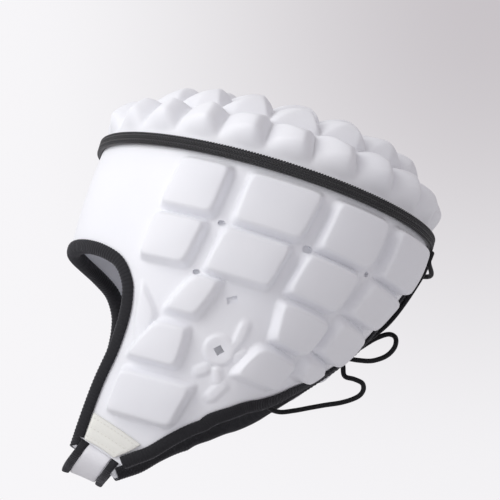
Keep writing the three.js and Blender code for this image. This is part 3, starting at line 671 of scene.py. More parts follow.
# %% [markdown]
# ## Pads of the side panel
# Each pad is a flat block with rounded corners and sloping sides, and narrow channels run between
# the blocks so that the foam can bend. A pad is given by its four corners on the head form. How
# far a place lies inside the four edges, smoothly joined at the corners, sets its height. A low
# dome over the block keeps its top from looking machined.

# %% Side pads
SIDE_PAD_RISE = 7
SIDE_SLOPE = 4.2
SIDE_GROWTH = 3.2
SIDE_CORNER = 1.7
EDGE_MARGIN = 0.8
EDGE_SLOPE = 4.5
BINDING_DEPTH = 5.6
EDGE_STEP = 1.5
CHUNK = 2000
EDGE_SOFTNESS = 0.34
PAD_CROWN = 0.7
PAD_CROWN_REACH = 7
FAR_AWAY = 60

# top and bottom are shares of SIDE_DROP, the others are the corner angles along top and bottom
PAD_COLUMNS = ("top", "bottom", "top_front", "top_back", "bottom_front", "bottom_back")
SIDE_PADS = [
    (0.05, 0.205, 58, 74, 55.5, 72.5),
    (0.05, 0.205, 81, 104, 79.5, 101),
    (0.05, 0.205, 110, 130, 108, 128.5),
    (0.05, 0.2, 136, 158, 135, 156),
    (0.235, 0.37, 55, 71.5, 53, 68.5),
    (0.235, 0.37, 78, 99.5, 75, 96.5),
    (0.235, 0.36, 106, 127, 104, 126),
    (0.23, 0.34, 134, 155, 132, 153),
    (0.395, 0.51, 72.5, 81, 66, 76.5),
    (0.395, 0.505, 104, 127, 108, 128),
    (0.37, 0.47, 132, 152, 133, 156),
    (0.553, 0.667, 64.5, 75, 57, 74.5),
    (0.54, 0.64, 104, 128, 96, 124),
    (0.5, 0.565, 133, 152, 135, 148),
    (0.712, 0.835, 56.5, 81.5, 54, 78),
]


def rounded_ramp(value, softness):
    """From 0 to 1 along a straight slope whose two ends are rounded off."""
    t = np.clip(value, 0, 1)
    low = t**2 / (2 * softness * (1 - softness))
    high = 1 - (1 - t) ** 2 / (2 * softness * (1 - softness))
    middle = (t - softness / 2) / (1 - softness)
    return np.where(t < softness, low, np.where(t > 1 - softness, high, middle))


def depth_in_pad(corners, angle, down):
    """How far inside a rounded outline some places are, in millimetres over the pads."""
    middle_angle = np.mean([corner[0] for corner in corners])
    middle_down = np.mean([corner[1] for corner in corners])
    ends = off_form(
        side_form, np.array([middle_angle, middle_angle + 1]), middle_down, WALL + SIDE_PAD_RISE
    )
    degree = np.linalg.norm(ends[1] - ends[0])
    flat = [np.array([(a - middle_angle) * degree, d - middle_down]) for a, d in corners]
    x, y = (angle - middle_angle) * degree, down - middle_down
    total = 0
    for start, end in zip(flat, flat[1:] + flat[:1]):
        edge = (end - start) / np.linalg.norm(end - start)
        inside = edge[0] * (y - start[1]) - edge[1] * (x - start[0])
        total = total + np.exp(-np.clip(inside, -FAR_AWAY, FAR_AWAY) / SIDE_CORNER)
    return -SIDE_CORNER * np.log(total)


def block_height(inside, rise, slope):
    """Height of a block with sloping sides and a slightly domed top."""
    dome = PAD_CROWN * (1 - np.exp(-np.maximum(inside - slope, 0) / PAD_CROWN_REACH))
    return rise * rounded_ramp(inside / slope, EDGE_SOFTNESS) + dome


def edge_distance(points):
    """Distance from places on the form to the nearest free edge, in millimetres."""
    edges = [side_form(*as_places(even_steps(line, EDGE_STEP))) for line in (face_line, neck_line)]
    edges = np.vstack(edges)
    flat = points.reshape(-1, 3)
    nearest = [
        np.linalg.norm(flat[k : k + CHUNK, None] - edges, axis=-1).min(axis=1)
        for k in range(0, len(flat), CHUNK)
    ]
    return np.concatenate(nearest).reshape(points.shape[:-1])


def pad_corners(row):
    pad = dict(zip(PAD_COLUMNS, row))
    top, bottom = pad["top"] * SIDE_DROP, pad["bottom"] * SIDE_DROP
    return [
        (pad["top_front"], top),
        (pad["top_back"], top),
        (pad["bottom_back"], bottom),
        (pad["bottom_front"], bottom),
    ]


print("pads of one side:", len(SIDE_PADS))

# %% [markdown]
# ## Details round the ear
# Sound reaches the ear through a small diamond hole in a moulded ring. A low wedge of foam fills
# the corner between the cheek and the first pads, and a few short ribs stiffen the thin
# foam round the ear. They are part of the same height, so they flow into the wall.

# %% Ear and cheek relief
# the ear's disc with a dish in it and an open diamond, half a diagonal across
EAR = {"angle": 86.5, "down": 0.588, "disc": 7.2, "slope": 2.4, "rise": 1.5, "dish": 0.6, "hole": 3.2}
SOFT_EDGE = 0.45
RIB_TOP = 1.3
RIB_FALL = 0.9
CHEEK_WEDGE = {"corners": [(54, 77), (65, 98), (59, 128), (53, 94)], "rise": 2.6, "slope": 4.0}
# Short ribs: both ends as angle and depth, half width and rise in millimetres
RIBS = [
    {"start": (90.5, 106), "end": (93, 99), "half_width": 2.6, "rise": 1.5},
    {"start": (93, 99), "end": (93.5, 92), "half_width": 3.0, "rise": 1.7},
    {"start": (95, 109), "end": (98.5, 106.5), "half_width": 2.8, "rise": 1.3},
    {"start": (82, 122), "end": (83.8, 120), "half_width": 3.2, "rise": 1.6},
    {"start": (87.8, 119.5), "end": (89, 124), "half_width": 2.9, "rise": 1.6},
    {"start": (88.5, 133), "end": (91.5, 126), "half_width": 3.4, "rise": 1.4},
]


def rib_height(points, rib):
    """Height of a short round-topped rib between two places."""
    start = side_form(*rib["start"])
    line = side_form(*rib["end"]) - start
    share = np.clip((points - start) @ line / (line @ line), 0, 1)
    away = np.linalg.norm(points - start - share[..., None] * line, axis=-1)
    return rib["rise"] * rounded_ramp(RIB_TOP - RIB_FALL * away / rib["half_width"], SOFT_EDGE)


def side_height(angle, down):
    """Height of the side panel's relief over its wall."""
    height = np.zeros_like(angle)
    for row in SIDE_PADS:
        inside = depth_in_pad(pad_corners(row), angle, down) + SIDE_GROWTH
        height = np.maximum(height, block_height(inside, SIDE_PAD_RISE, SIDE_SLOPE))
    inside = depth_in_pad(CHEEK_WEDGE["corners"], angle, down)
    height = np.maximum(height, block_height(inside, CHEEK_WEDGE["rise"], CHEEK_WEDGE["slope"]))
    points = side_form(angle, down)
    away = np.linalg.norm(points - side_form(EAR["angle"], EAR["down"] * SIDE_DROP), axis=-1)
    disc = EAR["rise"] * rounded_ramp((EAR["disc"] - away) / EAR["slope"] + 1, SOFT_EDGE)
    disc = disc - EAR["dish"] * smooth_step(1 - away / EAR["disc"])
    height = np.maximum(height, disc)
    for rib in RIBS:
        height = np.maximum(height, rib_height(points, rib))
    fade = (edge_distance(points) - BINDING_DEPTH - EDGE_MARGIN) / EDGE_SLOPE
    return height * smooth_step(fade)


ear_place = np.array(float(EAR["angle"])), np.array(EAR["down"] * SIDE_DROP)
print("height in the dish of the ear in mm:", np.round(side_height(*ear_place), 2))

# %% [markdown]
# ## The side foam
# Now the net and the height meet: the outer face is the form plus its wall and its relief, the
# inner face is the form itself.

# %% Side foam
def side_foam():
    """The moulded side panel as one closed wall, from the left tab round the forehead to the right."""
    last = FOREHEAD_CELLS + SIDE_CELLS
    rows = UPPER_CELLS + LOWER_CELLS

    def is_cell(i, j):
        column = -i - COARSE if i < 0 else i
        depth = UPPER_CELLS if column < FOREHEAD_CELLS else rows
        return column < last and 0 <= j < depth

    def points(i, j, relief):
        angle, down = side_net(np.abs(i), j)
        down = down + np.where(j == 0, GAP / 2, 0)
        height = WALL + side_height(angle, down) if relief else 0 * angle
        place = off_form(side_form, angle, down, height)
        place[..., 0] *= np.sign(i)
        return place

    return wall_mesh(
        "side_foam",
        (-last, last),
        rows,
        is_cell,
        lambda i, j: points(i, j, True),
        lambda i, j: points(i, j, False),
        white_foam,
    )


side_piece = side_foam()

# %% [markdown]
# ## Holes through the foam
# Where four pads meet there is a small vent with a thin pale skin behind it, and each ear has an
# open diamond. A hole in a finely divided wall is cut with a boolean: all the cutters are one mesh,
# so the wall is only worked once. The result is turned into a plain mesh, and only edges sharper
# than a moulded bevel stay hard.

# %% Holes
VENT_SIDES = 20
DIAMOND_SIDES = 4
SLOT_TURN = math.radians(28)
CUT_DEPTH = 20
VENT_SKIN = 1.5
SLOT_SKIN = 2.4
OPEN_DEPTH = -10
# angle, depth as a share of SIDE_DROP, half sizes across and down in millimetres
VENTS = [
    (76, 0.22, 2.3, 1.7),
    (105.5, 0.22, 3.1, 2.4),
    (131.5, 0.215, 1.7, 1.6),
    (72.5, 0.383, 2.2, 1.7),
]
SLOTS = [(86, 0.435, 3.0, 1.9)]
SHARP_ANGLE = math.radians(52)


def round_outline(sides, half_across, half_down):
    steps = 2 * np.pi * np.arange(sides) / sides
    return np.stack([half_across * np.cos(steps), half_down * np.sin(steps)], axis=-1)


def slot_outline(half_across, half_down):
    """A slanting rectangle."""
    box = np.array([(-1, -1), (1, -1), (1, 1), (-1, 1)]) * [half_across, half_down]
    turn = [[math.cos(SLOT_TURN), math.sin(SLOT_TURN)], [-math.sin(SLOT_TURN), math.cos(SLOT_TURN)]]
    return box @ np.array(turn)


def add_cutter(work, angle, down, outline, skin, mirror):
    """A prism square to the wall at one place, down to a height over the hollow."""
    inner = off_form(side_form, angle, down, skin)
    outer = off_form(side_form, angle, down, CUT_DEPTH)
    axis = (outer - inner) / np.linalg.norm(outer - inner)
    across = step_for_degree(angle, down)
    across = across - axis * (across @ axis)
    across /= np.linalg.norm(across)
    upright = np.cross(axis, across)
    flip = np.array([-1, 1, 1]) if mirror else np.ones(3)
    rings = [
        [work.verts.new((middle + across * x + upright * y) * flip * MM) for x, y in outline]
        for middle in (inner, outer)
    ]
    sides = len(outline)
    work.faces.new(rings[0][::-1])
    work.faces.new(rings[1])
    for k in range(sides):
        m = (k + 1) % sides
        work.faces.new([rings[0][k], rings[0][m], rings[1][m], rings[1][k]])


def cut_holes(piece):
    """Cuts the vents, the slots and the ear holes out of the side foam."""
    work = bmesh.new()
    for mirror in (False, True):
        for angle, share, *half_sizes in VENTS:
            outline = round_outline(VENT_SIDES, *half_sizes)
            add_cutter(work, angle, share * SIDE_DROP, outline, VENT_SKIN, mirror)
        for angle, share, *half_sizes in SLOTS:
            add_cutter(work, angle, share * SIDE_DROP, slot_outline(*half_sizes), SLOT_SKIN, mirror)
        diamond = round_outline(DIAMOND_SIDES, EAR["hole"], EAR["hole"])
        add_cutter(work, EAR["angle"], EAR["down"] * SIDE_DROP, diamond, OPEN_DEPTH, mirror)
    bmesh.ops.recalc_face_normals(work, faces=work.faces)
    data = bpy.data.meshes.new("hole_cutters")
    work.to_mesh(data)
    work.free()
    cutters = bpy.data.objects.new("hole_cutters", data)
    bpy.context.scene.collection.objects.link(cutters)
    modifier = piece.modifiers.new("holes", "BOOLEAN")
    modifier.object = cutters
    modifier.operation = "DIFFERENCE"
    modifier.solver = "MANIFOLD"
    evaluated = piece.evaluated_get(bpy.context.evaluated_depsgraph_get())
    cut = bpy.data.meshes.new_from_object(evaluated)
    piece.modifiers.remove(modifier)
    bpy.data.objects.remove(cutters)
    piece.data = cut
    cut.name = piece.name
    cut.set_sharp_from_angle(angle=SHARP_ANGLE)
    print("faces after cutting:", len(cut.polygons))


cut_holes(side_piece)
dress(side_piece, "side_shell")

# %% [markdown]
# ## Pillows of the crown
# The crown is covered in staggered pillows that lean on each other like tiles. Seeds are set in
# rings, and each pillow reaches halfway to its neighbours, which gives sharp valleys between
# rounded gables without drawing a single outline. Joining the distances to all the neighbours
# smoothly keeps the ridges soft.

# %% Crown foam
CROWN_PAD_RISE = 9
CROWN_FULLNESS = 1.8
CROWN_PAD_COUNT = 16
BROAD_FACE = 20
STEEP_FACE = 9
LEANING = np.array([0, 0.8, 0.6])
LEANING_SPREAD = 1.6
RIDGE_SOFTNESS = 0.035
CROWN_FOOT = 9
REAR_SHOULDER = 3.5
NEIGHBOURS = 8
TAPE_WIDTH = 7.4
TAPE_MARGIN = 1.2
CROWN_CELLS_ROUND = 480
CROWN_CELLS_UP = 120
RIM_CLIMB = 0.3
# climb in degrees up the dome, share of CROWN_PAD_COUNT in the ring, turn in pitches
CROWN_RINGS = [(17, 1.375, 0.5), (45, 1, 0), (64, 0.625, 0.5), (79, 0.25, 0)]


def crown_seeds():
    seeds = [crown_form(0, 90)]
    for climb, share, turn in CROWN_RINGS:
        count = round(CROWN_PAD_COUNT * share)
        for k in range(count):
            seeds.append(crown_form(360 * (k + turn) / count, climb))
    return np.array(seeds)


def crown_height(angle, climb):
    """Height of the pillows over the crown's wall. Each leans back and up like a tile."""
    seeds = crown_seeds()
    places = crown_form(angle, climb).reshape(-1, 3)
    distance = np.linalg.norm(places[:, None] - seeds[None], axis=-1)
    order = np.argsort(distance, axis=1)[:, :NEIGHBOURS]
    near = np.take_along_axis(distance, order, axis=1)
    away = seeds[order[:, 1:]] - seeds[order[:, :1]]
    apart = np.linalg.norm(away, axis=-1)
    inside = (near[:, 1:] ** 2 - near[:, :1] ** 2) / (2 * apart)
    lean = smooth_step(0.5 + (away @ LEANING) / apart / LEANING_SPREAD)
    steps = inside / (BROAD_FACE + (STEEP_FACE - BROAD_FACE) * lean)
    joined = -RIDGE_SOFTNESS * np.log(np.exp(-steps / RIDGE_SOFTNESS).sum(axis=1))
    joined = np.clip(np.minimum(joined, 1), 0, 1)
    pillow = CROWN_PAD_RISE * (1 - (1 - joined) ** CROWN_FULLNESS)
    rearward = np.maximum(-np.cos(np.radians(angle)), 0)
    shoulder = REAR_SHOULDER * rearward * np.sin(np.radians(2 * climb)) ** 2
    from_tape = places[:, 2] + CROWN_RISE - TAPE_WIDTH / 2 - TAPE_MARGIN
    rise = smooth_step(from_tape / CROWN_FOOT).reshape(angle.shape)
    return (pillow.reshape(angle.shape) + shoulder) * rise


def crown_foam():
    """The moulded crown as one closed wall."""

    def points(i, j, relief):
        angle = 360 * (i % CROWN_CELLS_ROUND) / CROWN_CELLS_ROUND
        climb = 90 - (90 - RIM_CLIMB) * j / CROWN_CELLS_UP
        height = WALL + crown_height(angle, climb) if relief else 0.0 * angle
        place = off_form(crown_form, angle, climb, height)
        top = np.array([0, 0, WALL + CROWN_PAD_RISE if relief else 0.0])
        place = np.where((j == 0)[..., None], top, place)
        place[..., 2] = np.where(j == CROWN_CELLS_UP, GAP / 2 - CROWN_RISE, place[..., 2])
        return place

    return wall_mesh(
        "crown_foam",
        (0, CROWN_CELLS_ROUND),
        CROWN_CELLS_UP,
        lambda i, j: j < CROWN_CELLS_UP and (j >= 0),
        lambda i, j: points(i, j, True),
        lambda i, j: points(i, j, False),
        white_foam,
    )


crown_piece = crown_foam()
dress(crown_piece, "crown_panel")

# %% [markdown]
# ## Laying small things along a line
# Stitches and the strands of a braid are one small shape repeated hundreds of times, which
# is what Geometry Nodes are for. A carrier mesh has one point for each strand, and two named
# attributes say which way is out of the cloth and which way the strand lies. The tree puts a
# flattened ball there, and the result is kept as a plain mesh.

# %% Strand tree
STRAND_SIDES = 6
STRAND_RINGS = 4
STRAND_SIZES = ("Length", "Width", "Height")


def strand_tree():
    """Puts a flattened ball on each point, lying along one attribute and facing another."""
    tree = bpy.data.node_groups.new("strands along a line", "GeometryNodeTree")
    face = tree.interface
    face.new_socket("Geometry", in_out="INPUT", socket_type="NodeSocketGeometry")
    for name in STRAND_SIZES:
        face.new_socket(name, in_out="INPUT", socket_type="NodeSocketFloat").default_value = MM
    face.new_socket("Material", in_out="INPUT", socket_type="NodeSocketMaterial")
    face.new_socket("Geometry", in_out="OUTPUT", socket_type="NodeSocketGeometry")
    new = tree.nodes.new
    link = tree.links.new
    start, end = new("NodeGroupInput"), new("NodeGroupOutput")
    ball = new("GeometryNodeMeshUVSphere")
    ball.inputs["Segments"].default_value = STRAND_SIDES
    ball.inputs["Rings"].default_value = STRAND_RINGS
    ball.inputs["Radius"].default_value = 0.5
    sizes = new("ShaderNodeCombineXYZ")
    for axis, name in zip("XYZ", STRAND_SIZES):
        link(start.outputs[name], sizes.inputs[axis])
    out, along = new("GeometryNodeInputNamedAttribute"), new("GeometryNodeInputNamedAttribute")
    for node, name in ((out, "out"), (along, "along")):
        node.data_type = "FLOAT_VECTOR"
        node.inputs["Name"].default_value = name
    facing, lying = new("FunctionNodeAlignRotationToVector"), new("FunctionNodeAlignRotationToVector")
    facing.axis = "Z"
    lying.axis, lying.pivot_axis = "X", "Z"
    link(out.outputs["Attribute"], facing.inputs["Vector"])
    link(facing.outputs["Rotation"], lying.inputs["Rotation"])
    link(along.outputs["Attribute"], lying.inputs["Vector"])
    place = new("GeometryNodeInstanceOnPoints")
    real = new("GeometryNodeRealizeInstances")
    paint = new("GeometryNodeSetMaterial")
    link(start.outputs["Geometry"], place.inputs["Points"])
    link(ball.outputs["Mesh"], place.inputs["Instance"])
    link(lying.outputs["Rotation"], place.inputs["Rotation"])
    link(sizes.outputs["Vector"], place.inputs["Scale"])
    link(place.outputs["Instances"], real.inputs["Geometry"])
    link(real.outputs["Geometry"], paint.inputs["Geometry"])
    link(start.outputs["Material"], paint.inputs["Material"])
    link(paint.outputs["Geometry"], end.inputs["Geometry"])
    return tree


strands_along = strand_tree()
print("nodes in the strand tree:", len(strands_along.nodes))


def strands(name, places, out, along, size, material):
    """One plain mesh of flattened balls: size is length, width and height in millimetres."""
    carrier = bpy.data.meshes.new(name)
    carrier.from_pydata((np.asarray(places) * MM).tolist(), [], [])
    for label, values in (("out", out), ("along", along)):
        layer = carrier.attributes.new(label, "FLOAT_VECTOR", "POINT")
        layer.data.foreach_set("vector", np.asarray(values, float).ravel())
    thing = bpy.data.objects.new(name, carrier)
    bpy.context.scene.collection.objects.link(thing)
    modifier = thing.modifiers.new("strands", "NODES")
    modifier.node_group = strands_along
    sockets = {item.name: item.identifier for item in strands_along.interface.items_tree}
    for label, value in zip(STRAND_SIZES, size):
        modifier[sockets[label]] = value * MM
    modifier[sockets["Material"]] = material
    evaluated = thing.evaluated_get(bpy.context.evaluated_depsgraph_get())
    data = bpy.data.meshes.new_from_object(evaluated)
    thing.modifiers.remove(modifier)
    thing.data = data
    data.shade_smooth()
    print(name, "strands:", len(places))
    return thing


# %% [markdown]
# ## The braided tape
# The tape round the head is a flat braid. A thin core gives it body, and five rows of strands lie
# over it in a chevron, so that its edges come out slightly jagged as on real braid.

# %% Tape
TAPE_THICKNESS = 2.8
TAPE_CLEARANCE = 0.7
BRAID_PITCH = 1.75
BRAID_LEAN = math.radians(35)
BRAID_ROWS = [(-2.88, 1), (-1.44, -1), (0, 1), (1.44, -1), (2.88, 1)]
BRAID_STRAND = (2.7, 1.2, 0.95)
CORE_INSET = 0.4
CORE_BEVEL_OUT = 0.4
CORE_BEVEL_UP = 0.7
CORE_DEGREES = 1.5
RING_DEGREES = 0.25
AHEAD_SHARE = 0.0005


def tape_point(angle, up, out):
    place = off_form(side_form, angle, np.zeros_like(angle), out)
    place[..., 2] = up - CROWN_RISE
    return place


def tape_core():
    near = WALL + TAPE_CLEARANCE
    far = near + TAPE_THICKNESS - CORE_INSET
    half = TAPE_WIDTH / 2 - CORE_INSET
    side, top = far - CORE_BEVEL_OUT, half - CORE_BEVEL_UP
    section = [(near, half), (side, half), (far, top), (far, -top), (side, -half), (near, -half)]
    angles = np.arange(0, 360, CORE_DEGREES)
    loops = np.stack([tape_point(angles, up, np.full(angles.shape, out)) for out, up in section], axis=1)
    return band_mesh("tape_core", loops, black_braid, closed=True)


def tape_braid():
    """Rows of strands in a chevron over the core."""
    turn = np.arange(0, 360, RING_DEGREES)
    out = WALL + TAPE_CLEARANCE + TAPE_THICKNESS - CORE_INSET
    ring = tape_point(turn, 0.0, np.full(turn.shape, out))
    count = int(lengths_along(ring)[-1] / BRAID_PITCH)
    ring = np.vstack([ring, ring[:1]])
    places, outs, alongs = [], [], []
    for row, (up, lean) in enumerate(BRAID_ROWS):
        shares = (np.arange(count) + 0.5 * (row % 2)) / count
        line = at_shares(ring, shares)
        ahead = at_shares(ring, (shares + AHEAD_SHARE) % 1) - line
        ahead /= np.linalg.norm(ahead, axis=-1, keepdims=True)
        facing = np.cross(ahead, [0, 0, 1])
        facing *= np.sign(np.sum(facing * line, axis=-1, keepdims=True))
        places.append(line + [0, 0, up])
        outs.append(facing)
        alongs.append(ahead * math.cos(BRAID_LEAN) + np.array([0, 0, lean * math.sin(BRAID_LEAN)]))
    stacked = [np.vstack(values) for values in (places, outs, alongs)]
    return strands("tape_braid", *stacked, BRAID_STRAND, black_braid)


for piece in (tape_core(), tape_braid()):
    dress(piece, "halo_tape")

# %% [markdown]
# ## Moving over the form
# A degree round the head gets shorter from the tape down to the neck, as the last lines print. To
# lay a band of even width beside an edge, a place is moved in small steps, each by the length that
# a degree has where the step begins.

# %% Moving over the form
MOVE_STEPS = 8


def moved_place(angle, down, across, fall):
    """A place moved over the form, in millimetres round it and down it."""
    down = down + fall / np.linalg.norm(step_for_depth(angle, down), axis=-1)
    for _ in range(MOVE_STEPS):
        angle = angle + across / MOVE_STEPS / np.linalg.norm(step_for_degree(angle, down), axis=-1)
    return angle, down


for depth in (0.0, 130.0):
    degree = np.linalg.norm(step_for_degree(np.array(120.0), np.array(depth)))
    print("mm below the tape and length of a degree in mm:", depth, round(float(degree), 2))

# %% [markdown]
# ## Knit binding
# The raw edge of the foam is hidden in a folded knit tape. Its section is a soft U: two padded legs
# on the faces of the wall and a round fold over the edge. The section travels along the edge, and
# its outer skin swells and sinks a little with every rib of the knit.

# %% Binding
BINDING_STEP = 0.42
RIB_PITCH = 2.1
RIB_RISE = 0.13
DIRECTION_REACH = 3.0
# into the panel and out from the hollow, in millimetres, round the skin of the cloth
BINDING_SKIN = [
    (5.4, WALL + 0.4), (5.8, WALL + 0.9), (5.3, WALL + 1.5), (4.2, WALL + 2.0), (2.6, WALL + 2.2),
    (1.0, WALL + 2.1), (-0.4, WALL + 1.6), (-1.4, WALL + 0.5), (-1.9, WALL / 2), (-1.5, -0.7),
    (-0.6, -1.7), (1.0, -2.3), (2.6, -2.5), (4.2, -2.3), (5.3, -1.8), (5.8, -1.3), (5.4, -0.9),
]
BINDING_LINING = [(-0.4, -0.8), (-0.4, WALL + 0.35)]


def binding_places(line, start=0.0):
    """Even places along an edge, each with the direction into the panel, round and down."""
    flat = even_steps(line, BINDING_STEP)
    along = lengths_along(flat)
    keep = along >= start
    ahead = as_places(at_shares(flat, (along + DIRECTION_REACH) / along[-1]))
    behind = as_places(at_shares(flat, (along - DIRECTION_REACH) / along[-1]))
    angle, down = as_places(flat)
    run = side_form(*ahead) - side_form(*behind)
    round_way = step_for_degree(angle, down)
    down_way = step_for_depth(angle, down)
    run_across = np.sum(run * round_way, axis=-1) / np.linalg.norm(round_way, axis=-1)
    run_down = np.sum(run * down_way, axis=-1) / np.linalg.norm(down_way, axis=-1)
    length = np.hypot(run_across, run_down)
    return angle[keep], down[keep], (-run_down / length)[keep], (run_across / length)[keep], along[keep]


def binding_loops(angle, down, across, fall, along):
    """Loops of the folded section, ribbed on its skin."""
    skin = np.array(BINDING_SKIN)
    tangent = np.gradient(skin, axis=0)
    normal = np.stack([tangent[:, 1], -tangent[:, 0]], axis=-1)
    normal /= np.linalg.norm(normal, axis=-1, keepdims=True)
    normal *= np.sign(np.sum(normal * (skin - [BINDING_DEPTH, WALL / 2]), axis=-1, keepdims=True))
    swell = RIB_RISE * np.sin(2 * np.pi * along / RIB_PITCH)
    loops = []
    for k, (into, out) in enumerate(BINDING_SKIN + BINDING_LINING):
        lift = swell if k < len(skin) else 0 * swell
        bump = normal[k] if k < len(skin) else np.zeros(2)
        depth = into + bump[0] * lift
        place = moved_place(angle, down, across * depth, fall * depth)
        loops.append(off_form(side_form, *place, out + bump[1] * lift))
    return np.stack(loops, axis=1)


def face_binding():
    angle, down, across, fall, along = binding_places(face_line)
    across[0] = 0
    left = binding_loops(angle, down, -across, -fall, along)
    right = left[:0:-1] * [-1, 1, 1]
    return band_mesh("face_binding_knit", np.concatenate([right, left]), black_knit)


def neck_binding(name, mirror):
    start = TAPE_WIDTH / 2 + TAPE_MARGIN
    loops = binding_loops(*binding_places(neck_line, start))
    if mirror:
        loops = loops * [-1, 1, 1]
    return band_mesh(name, loops, black_knit)


dress(face_binding(), "face_binding")
for side, mirror in (("left", False), ("right", True)):
    dress(neck_binding(f"neck_binding_knit_{side}", mirror), f"neck_binding_{side}")

# %% [markdown]
# ## Chin patches
# Where the strap meets the foam, a patch of strong off-white cloth spreads the pull. It lies
# between the two bindings. It is pinched at its edges and along every row of stitches, and stands
# slightly proud between them.

# %% Patches
PATCH_HEIGHT = 14
PATCH_FRONT_OVERHANG = 1.5
PATCH_BACK_OVERHANG = -3
PATCH_THICKNESS = 1.3
PATCH_FRONT_INSET = 1.15
PATCH_BACK_INSET = 1.7
PATCH_NODES_ACROSS = 29
PATCH_NODES_UP = 15
PATCH_SWELL = 0.5
PATCH_PINCH = 0.3
PINCH_ACROSS = 10
PINCH_UP = 7
STITCH_SINK = 0.75
STITCH_SPREAD = 0.9
STITCH_ROWS = [0.16, 0.5, 0.86]

tab_front = np.array([FACE_EDGE["angle"][-1], FACE_EDGE["down"][-1] * SIDE_DROP])
tab_back = np.array([NECK_EDGE["angle"][-1], NECK_EDGE["down"][-1] * SIDE_DROP])


def edge_angle(line, down):
    """The angle at which an edge passes a given depth."""
    angle, depth = as_places(line)
    return np.interp(down, depth, angle)


def patch_place(across, share, out):
    """A point of the left patch: across from front to back, share from its foot to its top."""
    across, share = np.broadcast_arrays(np.asarray(across, float), np.asarray(share, float))
    overhang = PATCH_FRONT_OVERHANG + (PATCH_BACK_OVERHANG - PATCH_FRONT_OVERHANG) * across
    down = (tab_front + (tab_back - tab_front) * across[..., None])[..., 1]
    down = down + overhang - share * (PATCH_HEIGHT + overhang)
    middle = (tab_front + tab_back) / 2
    degree = np.linalg.norm(side_form(middle[0] + 1, middle[1]) - side_form(*middle))
    inset = (BINDING_DEPTH + GAP) / degree
    front = edge_angle(cheek_part, down) + inset * PATCH_FRONT_INSET
    back = edge_angle(nape_part, down) - inset * PATCH_BACK_INSET
    return off_form(side_form, front + (back - front) * across, down, out)


def patch_thickness(across, share):
    """Thickness of the cloth: pinched at its edges and along its stitches."""
    from_side = np.minimum(across, 1 - across) * PINCH_ACROSS
    from_end = np.minimum(share, 1 - share) * PINCH_UP
    swell = PATCH_SWELL * rounded_ramp(np.minimum(from_side, from_end), SOFT_EDGE)
    for row in STITCH_ROWS:
        away = (share - row) * PATCH_HEIGHT / STITCH_SPREAD
        swell = swell * (1 - STITCH_SINK * np.exp(-(away**2)))
    return PATCH_THICKNESS - PATCH_PINCH + swell


def chin_patch(name, mirror):
    across, share = np.meshgrid(
        np.linspace(0, 1, PATCH_NODES_ACROSS), np.linspace(0, 1, PATCH_NODES_UP), indexing="ij"
    )
    near = WALL + GAP
    outer = patch_place(across, share, near + patch_thickness(across, share))
    inner = patch_place(across, share, np.full(across.shape, near))
    loops = np.concatenate([inner, outer[:, ::-1]], axis=1)
    if mirror:
        loops = loops * [-1, 1, 1]
    return band_mesh(name, loops, cream_cloth)


# %% [markdown]
# ## Stitches
# Three rows of short stitches hold each patch down. They follow the cloth's own surface a
# stitch at a time, and the direction off the cloth is the step between two heights over it. A row
# whose two heights hold different numbers of stitches takes a rough way out of the cheek instead.

# %% Stitches
STITCH = (1.7, 0.55, 0.55)
STITCH_PITCH = 2.5
STITCH_SPAN = (0.05, 0.95)
STITCH_SAMPLES = 60
OUT_OF_CHEEK = [1, 0.2, 0]


def patch_stitches(name, mirror):
    """Rows of short stitches sunk into the cloth."""
    places, outs, alongs = [], [], []
    for row in STITCH_ROWS:
        fine = np.linspace(*STITCH_SPAN, STITCH_SAMPLES)
        lift = WALL + GAP + patch_thickness(fine, np.full(fine.shape, row))
        line = even_steps(patch_place(fine, row, lift), STITCH_PITCH)
        below = even_steps(patch_place(fine, row, lift - 1), STITCH_PITCH)
        places.append(line)
        outs.append(line - below if len(below) == len(line) else line * OUT_OF_CHEEK)
        alongs.append(np.gradient(line, axis=0))
    flip = np.array([-1, 1, 1]) if mirror else np.ones(3)
    stacked = [np.vstack(values) * flip for values in (places, outs, alongs)]
    return strands(name, *stacked, STITCH, cream_thread)


def declare_patch(patch):
    """Prints the size of the four-cornered piece of cloth a patch was cut from and sewn down where it
    lies.
    """
    shares = np.linspace(0, 1, PATCH_NODES_ACROSS)
    out = np.full(shares.shape, WALL + GAP)
    width = lengths_along(patch_place(shares, 0.5, out))[-1]
    length = lengths_along(patch_place(0.5, shares, out))[-1]
    print(patch.name, "cut to in mm:", round(width, 1), round(length, 1))


for side, mirror in (("left", False), ("right", True)):
    patch = chin_patch(f"patch_cloth_{side}", mirror)
    stitches = patch_stitches(f"patch_stitches_{side}", mirror)
    for piece in (patch, stitches):
        dress(piece, f"chin_patch_{side}")
    declare_patch(patch)

# %% [markdown]
# ## The chin strap
# Smooth white webbing runs under the chin from tab to tab, with a black bound edge on each side.
# All three follow one line: straight down out of the tab, then round under the chin. The edges are
# thicker than the webbing and rounded.

# %% Strap
STRAP_WIDTH = 26
STRAP_THICKNESS = 2
STRAP_EDGE_WIDTH = 5
STRAP_EDGE_THICKNESS = 3.4
STRAP_DEPTH = 12
STRAP_FORWARD = 5
STRAP_FULLNESS = 0.8
STRAP_STEPS = 260
STRAP_SIDES = 20
STRAP_SAMPLES = 4000
WEBBING_SECTION = {"thickness": STRAP_THICKNESS, "squareness": 0.35, "ribs": 0.0}
EDGE_SECTION = {"thickness": STRAP_EDGE_THICKNESS, "squareness": 0.6, "ribs": 0.07}


